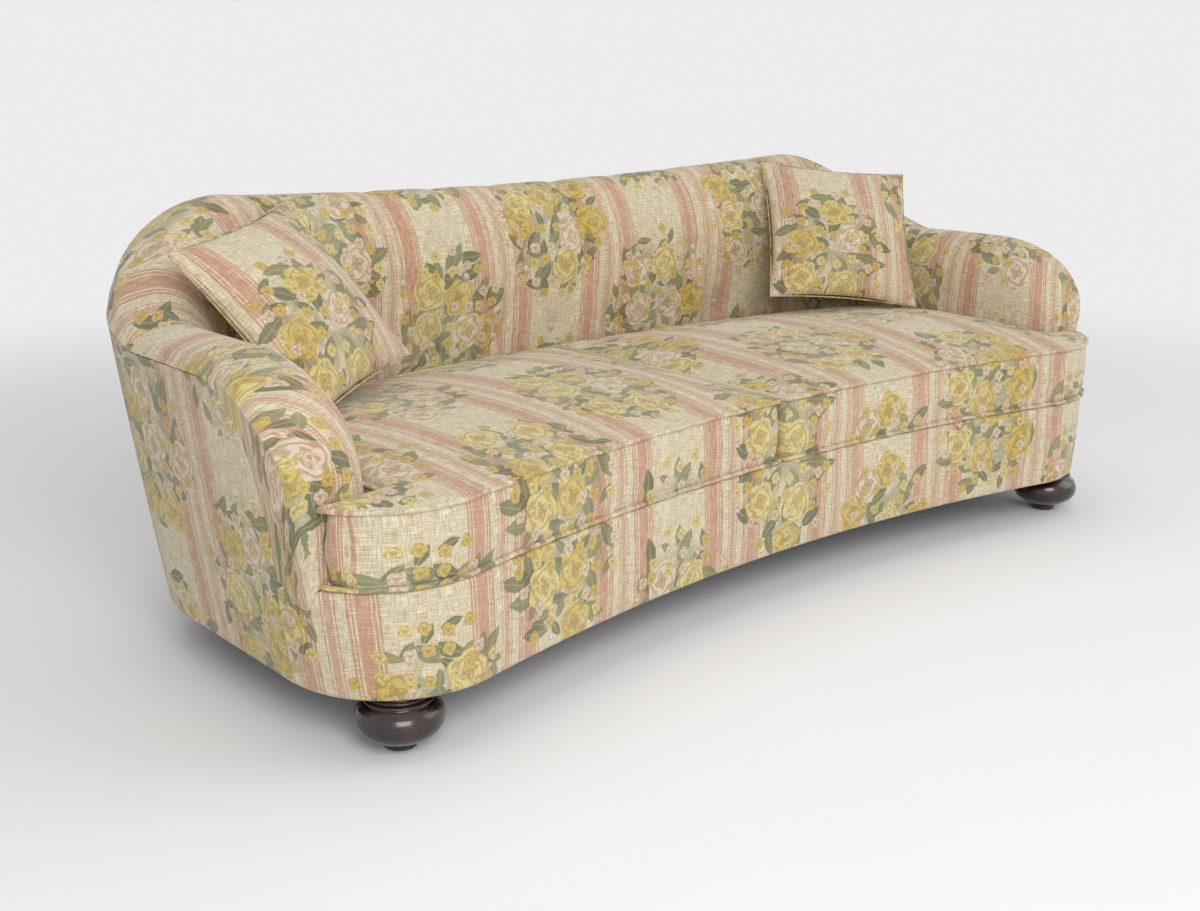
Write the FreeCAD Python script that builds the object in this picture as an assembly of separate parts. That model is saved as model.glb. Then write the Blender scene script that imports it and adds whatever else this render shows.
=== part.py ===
import FreeCAD, Part
import math
import os

V = FreeCAD.Vector

# Plan of the body. Every long piece follows circles about one vertical axis
# that stands in front of the sofa. Plan y is measured from that axis.
FRONT_RADIUS = 3600.0
BODY_DEPTH = 865.0
BODY_HALF_WIDTH = 1076.0
FRONT_CORNER_RADIUS = 205.0
REAR_CORNER_RADIUS = 310.0
BACK_RADIUS = FRONT_RADIUS + BODY_DEPTH

# Heights of the body
BODY_BOTTOM_Z = 103.0
SEAT_BASE_Z = 293.0
ARM_CREST_Z = 642.0
BACK_CREST_Z = 797.0
CREST_RISE = 30.0
CREST_RISE_AT_X = 824.0
SHOULDER_Z = 827.0
ARM_SEAM_Z = 604.0
BACK_SEAM_Z = 690.0

# The sides and the back lean outward as they rise
FLARE = 72.0
FLARE_TOP_Z = 680.0

# Arm, front end
ARM_NOSE_Y = FRONT_RADIUS + 14.0
NOSE_LENGTH = 222.0
NOSE_START_Z = 463.0
NOSE_PLAN_RADIUS = 80.0
NOSE_NARROWING = 0.45
SEAM_NOSE_LENGTH = 150.0
SEAM_NOSE_Z = 400.0
PANEL_FRONT_Y = ARM_NOSE_Y + 80.0

# Upholstery thicknesses and clearances
SEAM_CLIMB_LENGTH = 371.0
PAD_STEP = 13.5
NOSE_STEP = 0.5
CORNER_STEPS = 4
BORDER_THICKNESS = 20.0
PANEL_THICKNESS = 10.0
ARM_PAD_THICKNESS = 43.0
CLEARANCE = 0.3
SOFT_GAP = 0.6

# Hardwood frame
RAIL_THICKNESS = 28.0
RAIL_BOTTOM_Z = 108.0
RAIL_HEIGHT = 150.0
RAIL_TOP_Z = RAIL_BOTTOM_Z + RAIL_HEIGHT
CREST_RAIL_HEIGHT = 60.0
ARM_RAIL_WIDTH = 60.0
ARM_RAIL_THICKNESS = 28.0
ARM_RAIL_TOP_Z = 598.0
POST_WIDTH = 60.0
UPRIGHT_WIDTH = 45.0
UPRIGHT_ANGLES = (-5.2, 0.0, 5.2)
BACK_POST_ANGLE = 10.0
STRETCHER_ANGLES = (-5.0, 5.0)
STRETCHER_HEIGHT = 90.0
BLOCK_SIZE = 170.0
BLOCK_THICKNESS = 40.0

# Webbing and deck
WEB_WIDTH = 50.0
WEB_THICKNESS = 1.6
SEAT_WEB_COUNT = 10
SEAT_WEB_PITCH_DEG = 1.75
LONG_WEB_PLACES = (FRONT_RADIUS + 190.0, FRONT_RADIUS + 292.0, FRONT_RADIUS + 394.0)
BACK_WEB_ANGLES = (-8.6, -6.9, -3.5, -1.7, 1.7, 3.5, 6.9, 8.6)
PAD_BASE_Z = RAIL_TOP_Z + 2.0 * WEB_THICKNESS + CLEARANCE
DECK_REAR_INSET = 135.0
DECK_NOSE_REACH = 2.0

# Seat cushions
CUSHION_EDGE_Z = 425.0
CUSHION_CROWN = 48.0
CUSHION_REAR_RADIUS = BACK_RADIUS - 144.0
CUSHION_SIDE_X = BODY_HALF_WIDTH - 128.0
CROWN_REACH = BODY_HALF_WIDTH + 74.0
CUSHION_CORNER_RADIUS = 20.0
SEAT_REAR_CORNER = 198.0
SIDE_BULGE = 3.0
PIPING_RADIUS = 4.5
PIPING_INSET = 4.5
PIPING_SEAT = 5.0

# Zips in the rear borders of the seat cushions, in degrees off the middle of the plan
ZIP_START = 1.2
ZIP_END = 10.5
ZIP_WIDTH = 26.0
ZIP_THICKNESS = 1.2
SLIDER_LENGTH = 14.0
SLIDER_WIDTH = 10.0
SLIDER_THICKNESS = 3.0

# Scatter cushions. Their places are measured from the corner of the back, outward,
# backward, and up from the edge of the seat.
SCATTER_SIZE = 392.0
SCATTER_FRONT_SWELL = 70.0
SCATTER_REAR_SWELL = 34.0
SCATTER_WAIST = 14.0
SCATTER_LEFT_PLACE = (34.9, 23.2, 213.4)
SCATTER_LEFT_TURNS = (-9.7, -39.4, 22.6)
SCATTER_RIGHT_PLACE = (3.1, 34.0, 218.6)
SCATTER_RIGHT_TURNS = (7.0, -35.7, -27.9)

# Buttons
BUTTON_PITCH = 173.0
BUTTON_COLUMNS = 7
BUTTON_RADIUS = 12.0
BUTTON_HEIGHT = 5.0
BUTTON_BACK = 4.4
TUFT_DEPTH = 14.0
TUFT_SWELL = 6.0
PLEAT_DEPTH = 4.0

# Feet
FOOT_HEIGHT = RAIL_BOTTOM_Z
FOOT_SIDES = 20
GLIDE_THICKNESS = 3.0
GLIDE_RADIUS = 22.0
FRONT_FOOT = (BODY_HALF_WIDTH - 123.0, FRONT_RADIUS - 20.0)
REAR_FOOT = (BODY_HALF_WIDTH - 171.0, BACK_RADIUS - 243.0)
BOLT_RADIUS = 4.0
BOLT_LENGTH = 75.0
BOLT_IN_FOOT = 35.0
NUT_RADIUS = 7.5
NUT_HEIGHT = 5.0
FOOT_NECK_HOLE = 52.0

# A length beyond the whole sofa, for cutting shapes
FAR = 3000.0

parts = {}


def turned(shape, degrees):
    """Return the shape turned about the plan axis."""
    copy = shape.copy()
    copy.rotate(V(0, 0, 0), V(0, 0, 1), degrees)
    return copy


def mirrored(shape):
    """Return the shape's twin on the other side of the sofa."""
    return shape.mirror(V(0, 0, 0), V(1, 0, 0))


def box(x0, x1, y0, y1, z0, z1):
    return Part.makeBox(x1 - x0, y1 - y0, z1 - z0, V(x0, y0, z0))


def quad_wire(points):
    return Part.makePolygon(points + points[:1])


def ring(inner, outer, z0, z1, start, end):
    """Return a curved bar between two radii, from start to end degrees off the middle."""
    bar = Part.makeCylinder(outer, z1 - z0, V(0, 0, z0), V(0, 0, 1), end - start)
    bar = bar.cut(Part.makeCylinder(inner, z1 - z0, V(0, 0, z0), V(0, 0, 1), end - start))
    return turned(bar, 90.0 + start)


def radial_box(angle, width, r0, r1, z0, z1):
    """Return a straight bar that lies along a radius."""
    return turned(box(-width / 2, width / 2, r0, r1, z0, z1), angle)


def tangent_centre(half_width, radius, corner, sign):
    """Return the centre of a corner circle between a side line and a plan circle."""
    x = half_width - corner
    return x, math.sqrt((radius + sign * corner) ** 2 - x ** 2)


def footprint(front_radius, back_radius, half_width, front_corner, rear_corner):
    """Return the face of the kidney-shaped plan."""
    fx, fy = tangent_centre(half_width, front_radius, front_corner, 1)
    rx, ry = tangent_centre(half_width, back_radius, rear_corner, -1)
    front_scale = front_radius / (front_radius + front_corner)
    back_scale = back_radius / (back_radius - rear_corner)
    front_turn = math.atan2(fx, fy)
    rear_turn = math.atan2(rx, ry)
    front_mid = (math.pi / 2 + (math.pi - front_turn)) / 2
    rear_mid = (math.pi / 2 + rear_turn) / 2

    def on_front(side):
        return V(side * (fx + front_corner * math.sin(front_mid)),
                 fy + front_corner * math.cos(front_mid), 0)

    def on_rear(side):
        return V(side * (rx + rear_corner * math.sin(rear_mid)),
                 ry + rear_corner * math.cos(rear_mid), 0)

    front_ends = [V(side * fx * front_scale, fy * front_scale, 0) for side in (-1, 1)]
    back_ends = [V(side * rx * back_scale, ry * back_scale, 0) for side in (-1, 1)]
    side_front = [V(side * half_width, fy, 0) for side in (-1, 1)]
    side_back = [V(side * half_width, ry, 0) for side in (-1, 1)]
    edges = [
        Part.Arc(front_ends[0], V(0, front_radius, 0), front_ends[1]).toShape(),
        Part.Arc(front_ends[1], on_front(1), side_front[1]).toShape(),
        Part.makeLine(side_front[1], side_back[1]),
        Part.Arc(side_back[1], on_rear(1), back_ends[1]).toShape(),
        Part.Arc(back_ends[1], V(0, back_radius, 0), back_ends[0]).toShape(),
        Part.Arc(back_ends[0], on_rear(-1), side_back[0]).toShape(),
        Part.makeLine(side_back[0], side_front[0]),
        Part.Arc(side_front[0], on_front(-1), front_ends[0]).toShape(),
    ]
    return Part.Face(Part.Wire(edges))


def body_plan(front_inset, side_inset):
    """Return the body's footprint drawn in by an inset at the front and one elsewhere."""
    return footprint(FRONT_RADIUS + front_inset, BACK_RADIUS - side_inset,
                     BODY_HALF_WIDTH - side_inset, FRONT_CORNER_RADIUS - front_inset,
                     REAR_CORNER_RADIUS - side_inset)


def slab(face, z0, z1):
    lifted = face.copy()
    lifted.translate(V(0, 0, z0))
    return lifted.extrude(V(0, 0, z1 - z0))


REAR_CORNER_X, REAR_CORNER_Y = tangent_centre(
    BODY_HALF_WIDTH, BACK_RADIUS, REAR_CORNER_RADIUS, -1)
REAR_TURN = math.degrees(math.atan2(REAR_CORNER_X, REAR_CORNER_Y))
FRONT_CORNER_X, FRONT_CORNER_Y = tangent_centre(
    BODY_HALF_WIDTH, FRONT_RADIUS, FRONT_CORNER_RADIUS, 1)


def flare(z):
    return FLARE * (z - BODY_BOTTOM_Z) / (FLARE_TOP_Z - BODY_BOTTOM_Z)


def wall_point(turn, inset, z):
    """Return a point of the left wall, by the turn of its outward direction."""
    a = math.radians(turn)
    out = V(-math.sin(a), math.cos(a), 0)
    if turn <= REAR_TURN:
        foot = out * BACK_RADIUS
    else:
        foot = V(-REAR_CORNER_X, REAR_CORNER_Y, 0) + out * REAR_CORNER_RADIUS
    spot = foot - out * inset
    return V(spot.x, spot.y, z)


def side_point(y, inset, z):
    return V(-BODY_HALF_WIDTH + inset, y, z)


# Section of the padded back and of the arm, as inset from the foot line and share of the
# height. The face is straight between the rows of buttons, and three arcs go over the roll.
BACK_SECTION = ((103, 0.0), (133, 0.38), (150, 0.65), (143, 0.77),
                (124, 0.87), (82, 0.965), (22, 1.0), (-46, 0.955), (-68, 0.84))
ARM_SECTION = ((118, 0.0), (125, 0.38), (122, 0.62), (115, 0.76),
               (101, 0.87), (68, 0.965), (22, 1.0), (-38, 0.968), (-60, 0.912))
LOWER_ROW = 1
UPPER_ROW = 2
BACK_FACE_RADIUS = BACK_RADIUS - BACK_SECTION[UPPER_ROW][0]


def back_crest(x):
    return BACK_CREST_Z + CREST_RISE * (x / CREST_RISE_AT_X) ** 2


def blended_section(share):
    """Return the pad's section between that of the back, 0, and that of the arm, 1."""
    return [(b[0] + (a[0] - b[0]) * share, b[1] + (a[1] - b[1]) * share)
            for b, a in zip(BACK_SECTION, ARM_SECTION)]


def seam_height(y):
    """Return the height of the seam between the pads and the outside panels."""
    if y < PANEL_FRONT_Y:
        return SEAM_NOSE_Z
    if y < PANEL_FRONT_Y + SEAM_NOSE_LENGTH:
        share = (PANEL_FRONT_Y + SEAM_NOSE_LENGTH - y) / SEAM_NOSE_LENGTH
        return SEAM_NOSE_Z + (ARM_SEAM_Z - SEAM_NOSE_Z) * math.sqrt(1 - share ** 2)
    climb = min(1.0, max(0.0, (y - REAR_CORNER_Y) / SEAM_CLIMB_LENGTH))
    return ARM_SEAM_Z + (BACK_SEAM_Z - ARM_SEAM_Z) * climb


def pad_wire(spot, section, crest, seam, step):
    """Return a pad's closed section: its face and roll, a step for the panel, and its foot."""
    height = crest - PAD_BASE_Z
    p = [spot(n, PAD_BASE_Z + share * height) for n, share in section]
    roll_end = p[-1]
    seam = min(seam, roll_end.z - 1.0) + CLEARANCE
    outer = spot(-flare(seam) + 1.0, seam)
    inner = spot(-flare(seam) + step, seam)
    foot = spot(-flare(PAD_BASE_Z) + step, PAD_BASE_Z)
    face = [Part.makeLine(a, b) for a, b in zip(p[:UPPER_ROW], p[1:])]
    arcs = [Part.Arc(*p[i:i + 3]).toShape() for i in range(UPPER_ROW, len(p) - 1, 2)]
    under = quad_wire([roll_end, outer, inner, foot, p[0]]).Edges[:-1]
    return Part.Wire(face + arcs + under)


def tufted(section, row):
    """Return the section pulled in at a row of buttons and swollen at the other row."""
    if row is None:
        return section
    other = LOWER_ROW if row == UPPER_ROW else UPPER_ROW
    pulled = list(section)
    pulled[row] = (section[row][0] - TUFT_DEPTH, section[row][1])
    pulled[other] = (section[other][0] + TUFT_SWELL, section[other][1])
    return pulled


def back_station(turn, crest, share, row):
    seam = ARM_SEAM_Z
    for attempt in range(4):
        seam = seam_height(wall_point(turn, -flare(seam), 0).y)
    section = tufted(blended_section(share), row)
    return pad_wire(lambda n, z: wall_point(turn, n, z), section, crest, seam, PAD_STEP)


def nose_shape(y):
    """Return the share of height and of width that the arm keeps at its rounded front."""
    back_off = min(1.0, max(0.0, (ARM_NOSE_Y + NOSE_LENGTH - y) / (NOSE_LENGTH + 1.0)))
    top = NOSE_START_Z + (ARM_CREST_Z - NOSE_START_Z) * math.sqrt(1 - back_off ** 2)
    plan = min(1.0, max(0.0, (ARM_NOSE_Y + NOSE_PLAN_RADIUS - y) / (NOSE_PLAN_RADIUS + 1.0)))
    width = 1 - NOSE_NARROWING * (1 - math.sqrt(1 - plan ** 2))
    return top, width


def arm_station(y):
    crest, wide = nose_shape(y)
    middle = (ARM_SECTION[0][0] + ARM_SECTION[-1][0]) / 2
    section = [(middle + (n - middle) * wide, share) for n, share in ARM_SECTION]
    step = PAD_STEP if y >= PANEL_FRONT_Y else NOSE_STEP
    return pad_wire(lambda n, z: side_point(y, n, z), section, crest, seam_height(y), step)


def loft(wires):
    """Return the solid of straight lines between closed wires, with its faces outward."""
    solid = Part.makeLoft(wires, True, True)
    if solid.Volume < 0:
        solid.reverse()
    return solid


def turned_solid(steps, sides):
    """Return a lathe-turned piece drawn with flat sides, from its radii and heights."""
    rings = []
    for radius, z in steps:
        turns = [2 * math.pi * (i + 0.5) / sides for i in range(sides)]
        rings.append([V(radius * math.cos(a), radius * math.sin(a), z) for a in turns])
    faces = [Part.Face(quad_wire(rings[0])), Part.Face(quad_wire(rings[-1]))]
    for low, high in zip(rings, rings[1:]):
        faces += [Part.Face(quad_wire([low[i - 1], low[i], high[i], high[i - 1]]))
                  for i in range(sides)]
    solid = Part.Solid(Part.Shell(faces))
    solid.fix(1e-6, 1e-6, 1e-6)
    return solid


def rounded_upright_edges(solid, radius):
    """Round every vertical edge of a flat-topped solid."""
    upright = [e for e in solid.Edges if abs(e.tangentAt(e.FirstParameter).z) > 0.99]
    return solid.makeFillet(radius, upright)


def on_both_sides(name, shape):
    parts[name + "_left"] = shape
    parts[name + "_right"] = mirrored(shape)


def as_pair(name, shape):
    """Keep a left piece and its right twin as two solids of one node."""
    parts[name] = Part.makeCompound([shape, mirrored(shape)])


# Base frame: a ring of hardwood under the seat, in bars that meet end to end
OUTER_INSET = PANEL_THICKNESS + CLEARANCE
INNER_INSET = OUTER_INSET + RAIL_THICKNESS
FRONT_RAIL_OUTER = BORDER_THICKNESS
FRONT_RAIL_INNER = BORDER_THICKNESS + RAIL_THICKNESS
FRAME_OUT_RADIUS = BACK_RADIUS - OUTER_INSET
FRAME_IN_RADIUS = BACK_RADIUS - INNER_INSET


def make_base_frame():
    rim = slab(body_plan(FRONT_RAIL_OUTER, OUTER_INSET), RAIL_BOTTOM_Z, RAIL_TOP_Z)
    rim = rim.cut(slab(body_plan(FRONT_RAIL_INNER, INNER_INSET), RAIL_BOTTOM_Z, RAIL_TOP_Z))
    split_front_y = FRONT_CORNER_Y
    front_x = FRONT_CORNER_X
    rear_x = REAR_CORNER_X
    front_half = box(-FAR, FAR, 0, split_front_y, 0, FAR)
    rear_half = box(-FAR, FAR, REAR_CORNER_Y, 2 * FAR, 0, FAR)
    middle = box(-FAR, FAR, split_front_y, REAR_CORNER_Y, 0, FAR)
    inside_x = box(-front_x, front_x, 0, 2 * FAR, 0, FAR)
    outside_left = box(-FAR, -front_x, 0, 2 * FAR, 0, FAR)
    parts["front_rail"] = rim.common(front_half).common(inside_x)
    as_pair("front_corners", rim.common(front_half).common(outside_left))
    on_both_sides("end_rail", rim.common(middle).common(box(-FAR, 0, 0, 2 * FAR, 0, FAR)))
    parts["back_rail"] = rim.common(rear_half).common(box(-rear_x, rear_x, 0, 2 * FAR, 0, FAR))
    as_pair("rear_corners", rim.common(rear_half).common(
        box(-FAR, -rear_x, 0, 2 * FAR, 0, FAR)))


def make_stretchers():
    reach = ring(FRONT_RADIUS + FRONT_RAIL_INNER, FRAME_IN_RADIUS, 0, FAR, -20, 20)
    wide = [radial_box(a, RAIL_THICKNESS, FRONT_RADIUS, BACK_RADIUS,
                       RAIL_BOTTOM_Z, RAIL_BOTTOM_Z + STRETCHER_HEIGHT) for a in STRETCHER_ANGLES]
    parts["seat_stretchers"] = Part.makeCompound([bar.common(reach) for bar in wide])


def foot_places():
    """Return the four foot centres."""
    corners = (FRONT_FOOT, REAR_FOOT)
    return [(side * x, y) for x, y in corners for side in (-1, 1)]


def plug(radius, sides, x, y, z0, z1):
    """Return a round piece drawn with flat sides, upright at a place."""
    solid = turned_solid(((radius, z0), (radius, z1)), sides)
    solid.translate(V(x, y, 0))
    return solid


def bolt_shank(x, y, z0, z1):
    return plug(BOLT_RADIUS, 8, x, y, z0, z1)


def make_corner_blocks():
    inside = slab(body_plan(FRONT_RAIL_INNER, INNER_INSET), 0, FAR)
    top = RAIL_BOTTOM_Z + BLOCK_THICKNESS
    half = BLOCK_SIZE / 2
    blocks = []
    for x, y in foot_places():
        block = box(x - half, x + half, y - half, y + half, RAIL_BOTTOM_Z, top)
        blocks.append(block.common(inside).cut(bolt_shank(x, y, RAIL_BOTTOM_Z, top)))
    parts["corner_blocks"] = Part.makeCompound(blocks)


def make_feet():
    """Make the bun feet with their bolts, nuts and glides."""
    steps = ((26, GLIDE_THICKNESS), (29, 14), (62, 29), (72, 40), (75, 56), (72, 72), (60, 85),
             (51, 88), (57, 94), (50, 100), (50, FOOT_HEIGHT))
    turned_foot = turned_solid(steps, FOOT_SIDES)
    feet = []
    bolts = []
    nuts = []
    glides = []
    for x, y in foot_places():
        foot = turned_foot.copy()
        foot.translate(V(x, y, 0))
        bolt_foot = FOOT_HEIGHT - BOLT_IN_FOOT
        feet.append(foot.cut(bolt_shank(x, y, bolt_foot, FOOT_HEIGHT)))
        bolts.append(bolt_shank(x, y, bolt_foot, bolt_foot + BOLT_LENGTH))
        block_top = RAIL_BOTTOM_Z + BLOCK_THICKNESS
        nut = plug(NUT_RADIUS, 6, x, y, block_top, block_top + NUT_HEIGHT)
        nuts.append(nut.cut(bolt_shank(x, y, block_top, block_top + NUT_HEIGHT)))
        glides.append(plug(GLIDE_RADIUS, 12, x, y, 0, GLIDE_THICKNESS))
    parts["bun_feet"] = Part.makeCompound(feet)
    parts["foot_bolts"] = Part.makeCompound(bolts)
    parts["foot_nuts"] = Part.makeCompound(nuts)
    parts["foot_glides"] = Part.makeCompound(glides)


# Upper frame
CREST_RAIL_Z = BACK_SEAM_Z
ARM_RAIL_Z = ARM_RAIL_TOP_Z - ARM_RAIL_THICKNESS
POST_FRONT_Y = PANEL_FRONT_Y + 6.0
ARM_REAR_Y = REAR_CORNER_Y


def arm_rail_solid():
    x = -BODY_HALF_WIDTH + OUTER_INSET + RAIL_THICKNESS / 2
    half = ARM_RAIL_WIDTH / 2
    return box(x - half, x + half, POST_FRONT_Y, ARM_REAR_Y, ARM_RAIL_Z, ARM_RAIL_TOP_Z)


def shoulder_rail_solid():
    """Return the bent rail that joins the arm rail to the back post round the corner."""
    middle = REAR_CORNER_RADIUS - OUTER_INSET - RAIL_THICKNESS / 2
    half = RAIL_THICKNESS / 2
    bend = Part.makeCylinder(middle + half, ARM_RAIL_THICKNESS,
                             V(-REAR_CORNER_X, REAR_CORNER_Y, ARM_RAIL_Z))
    bend = bend.cut(Part.makeCylinder(middle - half, ARM_RAIL_THICKNESS,
                                      V(-REAR_CORNER_X, REAR_CORNER_Y, ARM_RAIL_Z)))
    quarter = box(-FAR, -REAR_CORNER_X, REAR_CORNER_Y, 2 * FAR, 0, FAR)
    return bend.common(quarter)


def crest_rail_solid():
    return ring(FRAME_IN_RADIUS, FRAME_OUT_RADIUS, CREST_RAIL_Z,
                CREST_RAIL_Z + CREST_RAIL_HEIGHT, -REAR_TURN, REAR_TURN)


def make_upper_frame():
    parts["crest_rail"] = crest_rail_solid()
    uprights = [radial_box(a, UPRIGHT_WIDTH, FRAME_IN_RADIUS + 1, FRAME_OUT_RADIUS - 1,
                           RAIL_TOP_Z, CREST_RAIL_Z) for a in UPRIGHT_ANGLES]
    parts["back_uprights"] = Part.makeCompound(uprights)
    post = radial_box(BACK_POST_ANGLE, UPRIGHT_WIDTH, FRAME_IN_RADIUS + 1,
                      FRAME_OUT_RADIUS - 1, RAIL_TOP_Z, CREST_RAIL_Z)
    on_both_sides("back_post", post.cut(shoulder_rail_solid()))
    as_pair("shoulder_rails", shoulder_rail_solid())
    on_both_sides("arm_rail", arm_rail_solid())
    x = -BODY_HALF_WIDTH + OUTER_INSET
    on_both_sides("arm_front_post", box(x, x + RAIL_THICKNESS, POST_FRONT_Y,
                                        POST_FRONT_Y + POST_WIDTH, RAIL_TOP_Z, ARM_RAIL_Z))
    on_both_sides("arm_rear_post", box(x, x + RAIL_THICKNESS, ARM_REAR_Y - POST_WIDTH,
                                       ARM_REAR_Y, RAIL_TOP_Z, ARM_RAIL_Z))


def make_webbing():
    angles = [SEAT_WEB_PITCH_DEG * (i - (SEAT_WEB_COUNT - 1) / 2) for i in range(SEAT_WEB_COUNT)]
    inner = FRONT_RADIUS + BORDER_THICKNESS + 3
    outer = FRAME_OUT_RADIUS - 3
    parts["seat_webbing_across"] = Part.makeCompound([
        radial_box(a, WEB_WIDTH, inner, outer, RAIL_TOP_Z, RAIL_TOP_Z + WEB_THICKNESS)
        for a in angles])
    low = RAIL_TOP_Z + WEB_THICKNESS
    reach = BODY_HALF_WIDTH - OUTER_INSET - 3
    parts["seat_webbing_along"] = Part.makeCompound([
        box(-reach, reach, y - WEB_WIDTH / 2, y + WEB_WIDTH / 2, low, low + WEB_THICKNESS)
        for y in LONG_WEB_PLACES])
    web_face = FRAME_IN_RADIUS - 0.1
    parts["back_webbing"] = Part.makeCompound([
        radial_box(a, WEB_WIDTH, web_face - WEB_THICKNESS, web_face,
                   RAIL_TOP_Z - 40, CREST_RAIL_Z + 30) for a in BACK_WEB_ANGLES])


# Fixed upholstery
def wall_stations():
    """Return the turn, crest, blend and button row of each pad section, middle first."""
    stations = []
    half_pitch = math.degrees(BUTTON_PITCH / 2 / BACK_FACE_RADIUS)
    for i in range(BUTTON_COLUMNS):
        turn = half_pitch * i
        row = UPPER_ROW if i % 2 else LOWER_ROW
        crest = back_crest(BACK_RADIUS * math.sin(math.radians(turn)))
        stations.append((turn, crest - (PLEAT_DEPTH if i % 2 else 0.0), 0.0, row))
    stations.append((REAR_TURN, SHOULDER_Z, 0.0, None))
    for i in range(1, CORNER_STEPS + 1):
        share = i / CORNER_STEPS
        fall = 1 - math.cos(math.radians(90 * share))
        blend = (1 - math.cos(math.pi * share)) / 2
        crest = SHOULDER_Z + (ARM_CREST_Z - SHOULDER_Z) * (fall + blend) / 2
        stations.append((REAR_TURN + (90 - REAR_TURN) * share, crest, blend, None))
    return stations


def expanded_plan(inset, z):
    """Return the body's plan at a height, with its sides and back leaning out."""
    face = body_plan(inset, inset - flare(z))
    face.translate(V(0, 0, z))
    return face.OuterWire


def panel_wall():
    """Return the leaning wall of the sides and the back, over the whole plan."""
    low, high = BODY_BOTTOM_Z, BACK_SEAM_Z
    outer = loft([expanded_plan(0.0, z) for z in (low, high)])
    inner = loft([expanded_plan(PANEL_THICKNESS, z) for z in (low - 5.0, high + 5.0)])
    return outer.cut(inner)


def seam_side_view():
    """Return the outline of the panels as seen from the side, as a face."""
    far = REAR_CORNER_Y + FAR
    top = [(y, seam_height(y)) for y in arm_stations() if y >= PANEL_FRONT_Y]
    spots = top + [(REAR_CORNER_Y + SEAM_CLIMB_LENGTH, BACK_SEAM_Z), (far, BACK_SEAM_Z),
                   (far, BODY_BOTTOM_Z), (PANEL_FRONT_Y, BODY_BOTTOM_Z)]
    return Part.Face(quad_wire([V(0, y, z) for y, z in spots]))


ARM_STATION_GAPS = (3.0, 20.0, 45.0, 76.0, 80.0, 112.0, 155.0, 222.0)


def arm_stations():
    return [ARM_NOSE_Y + gap for gap in ARM_STATION_GAPS] + [ARM_REAR_Y]


def make_outside_panels():
    outline = seam_side_view().extrude(V(-FAR, 0, 0))
    left = panel_wall().common(outline)
    as_pair("side_panels", left.common(box(-FAR, -REAR_CORNER_X, 0, 2 * FAR, 0, FAR)))
    back = left.common(box(-REAR_CORNER_X, 0, REAR_CORNER_Y, 2 * FAR, 0, FAR))
    parts["back_panel"] = back.fuse(mirrored(back)).removeSplitter()


def make_arm_pads():
    pad = loft([arm_station(y) for y in arm_stations()])
    x = -BODY_HALF_WIDTH + ARM_SECTION[0][0] - ARM_PAD_THICKNESS
    hollow = box(-FAR, x, POST_FRONT_Y - CLEARANCE, ARM_REAR_Y + 1, 0, ARM_RAIL_Z)
    over_border = box(-FAR, 0, 0, PANEL_FRONT_Y, 0, SEAT_BASE_Z + CLEARANCE)
    as_pair("arm_pads", pad.cut([hollow, over_border, arm_rail_solid()]))


def button_places():
    """Return the turn, the height and the plan radius of each button on the inside back."""
    places = []
    for turn, crest, blend, row in wall_stations():
        if row is None:
            continue
        inset, share = tufted(BACK_SECTION, row)[row]
        height = PAD_BASE_Z + share * (crest - PAD_BASE_Z)
        for side in (-1, 1) if turn else (1,):
            places.append((side * turn, height, BACK_RADIUS - inset))
    return places


def make_back_pad():
    half = loft([back_station(*station) for station in wall_stations()])
    hollow = ring(FRAME_IN_RADIUS - WEB_THICKNESS - CLEARANCE, BACK_RADIUS + 2 * FLARE,
                  PAD_BASE_Z - 50, CREST_RAIL_Z, 0, REAR_TURN + 0.5)
    half = half.cut([hollow, crest_rail_solid(), shoulder_rail_solid()])
    pad = half.fuse(mirrored(half)).removeSplitter()
    parts["back_pad"] = pad.cut(parts["back_webbing"])


def make_buttons():
    button = turned_solid(((1.0, 0.0), (BUTTON_RADIUS, BUTTON_BACK),
                           (BUTTON_RADIUS * 0.55, BUTTON_BACK + BUTTON_HEIGHT)), 8)
    button.rotate(V(0, 0, 0), V(1, 0, 0), 90)
    buttons = []
    for turn, height, radius in button_places():
        place = button.copy()
        place.translate(V(0, radius - CLEARANCE, height))
        buttons.append(turned(place, turn))
    parts["back_buttons"] = Part.makeCompound(buttons)


def foot_tops():
    """Return the rooms for the feet in the fabric under the frame."""
    return [plug(FOOT_NECK_HOLE, 12, x, y, BODY_BOTTOM_Z - 5, RAIL_BOTTOM_Z + CLEARANCE)
            for x, y in foot_places()]


def make_front_border():
    outer = loft([expanded_plan(0.0, z) for z in (BODY_BOTTOM_Z, SEAT_BASE_Z)])
    inner = slab(body_plan(BORDER_THICKNESS, OUTER_INSET), BODY_BOTTOM_Z, SEAT_BASE_Z)
    border = outer.cut(inner).common(box(-FAR, FAR, 0, PANEL_FRONT_Y - CLEARANCE, 0, FAR))
    parts["front_border"] = border.cut(foot_tops())


def make_dust_cover():
    sheet = slab(body_plan(FRONT_RAIL_OUTER + 4, OUTER_INSET + 4), RAIL_BOTTOM_Z - 1.2,
                 RAIL_BOTTOM_Z)
    parts["dust_cover"] = sheet.cut(foot_tops())


# Seat cushions
def seat_plan(front_inset, side_x, rear_radius, nose_gap, middle_gap):
    """Return the left half of the T-shaped seat: it runs out in front of the arm."""
    plan = body_plan(front_inset, front_inset - flare(SEAT_BASE_Z))
    between_arms = footprint(FRONT_RADIUS - 500.0, rear_radius, side_x, FRONT_CORNER_RADIUS,
                             SEAT_REAR_CORNER)
    before_arms = Part.makePlane(2 * FAR, ARM_NOSE_Y - nose_gap, V(-FAR, 0, 0))
    seat = plan.common(between_arms.fuse(before_arms).removeSplitter())
    right_half = Part.makePlane(FAR, 2 * FAR, V(-middle_gap, 0, 0))
    return seat.cut(right_half).removeSplitter().Faces[0]


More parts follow.
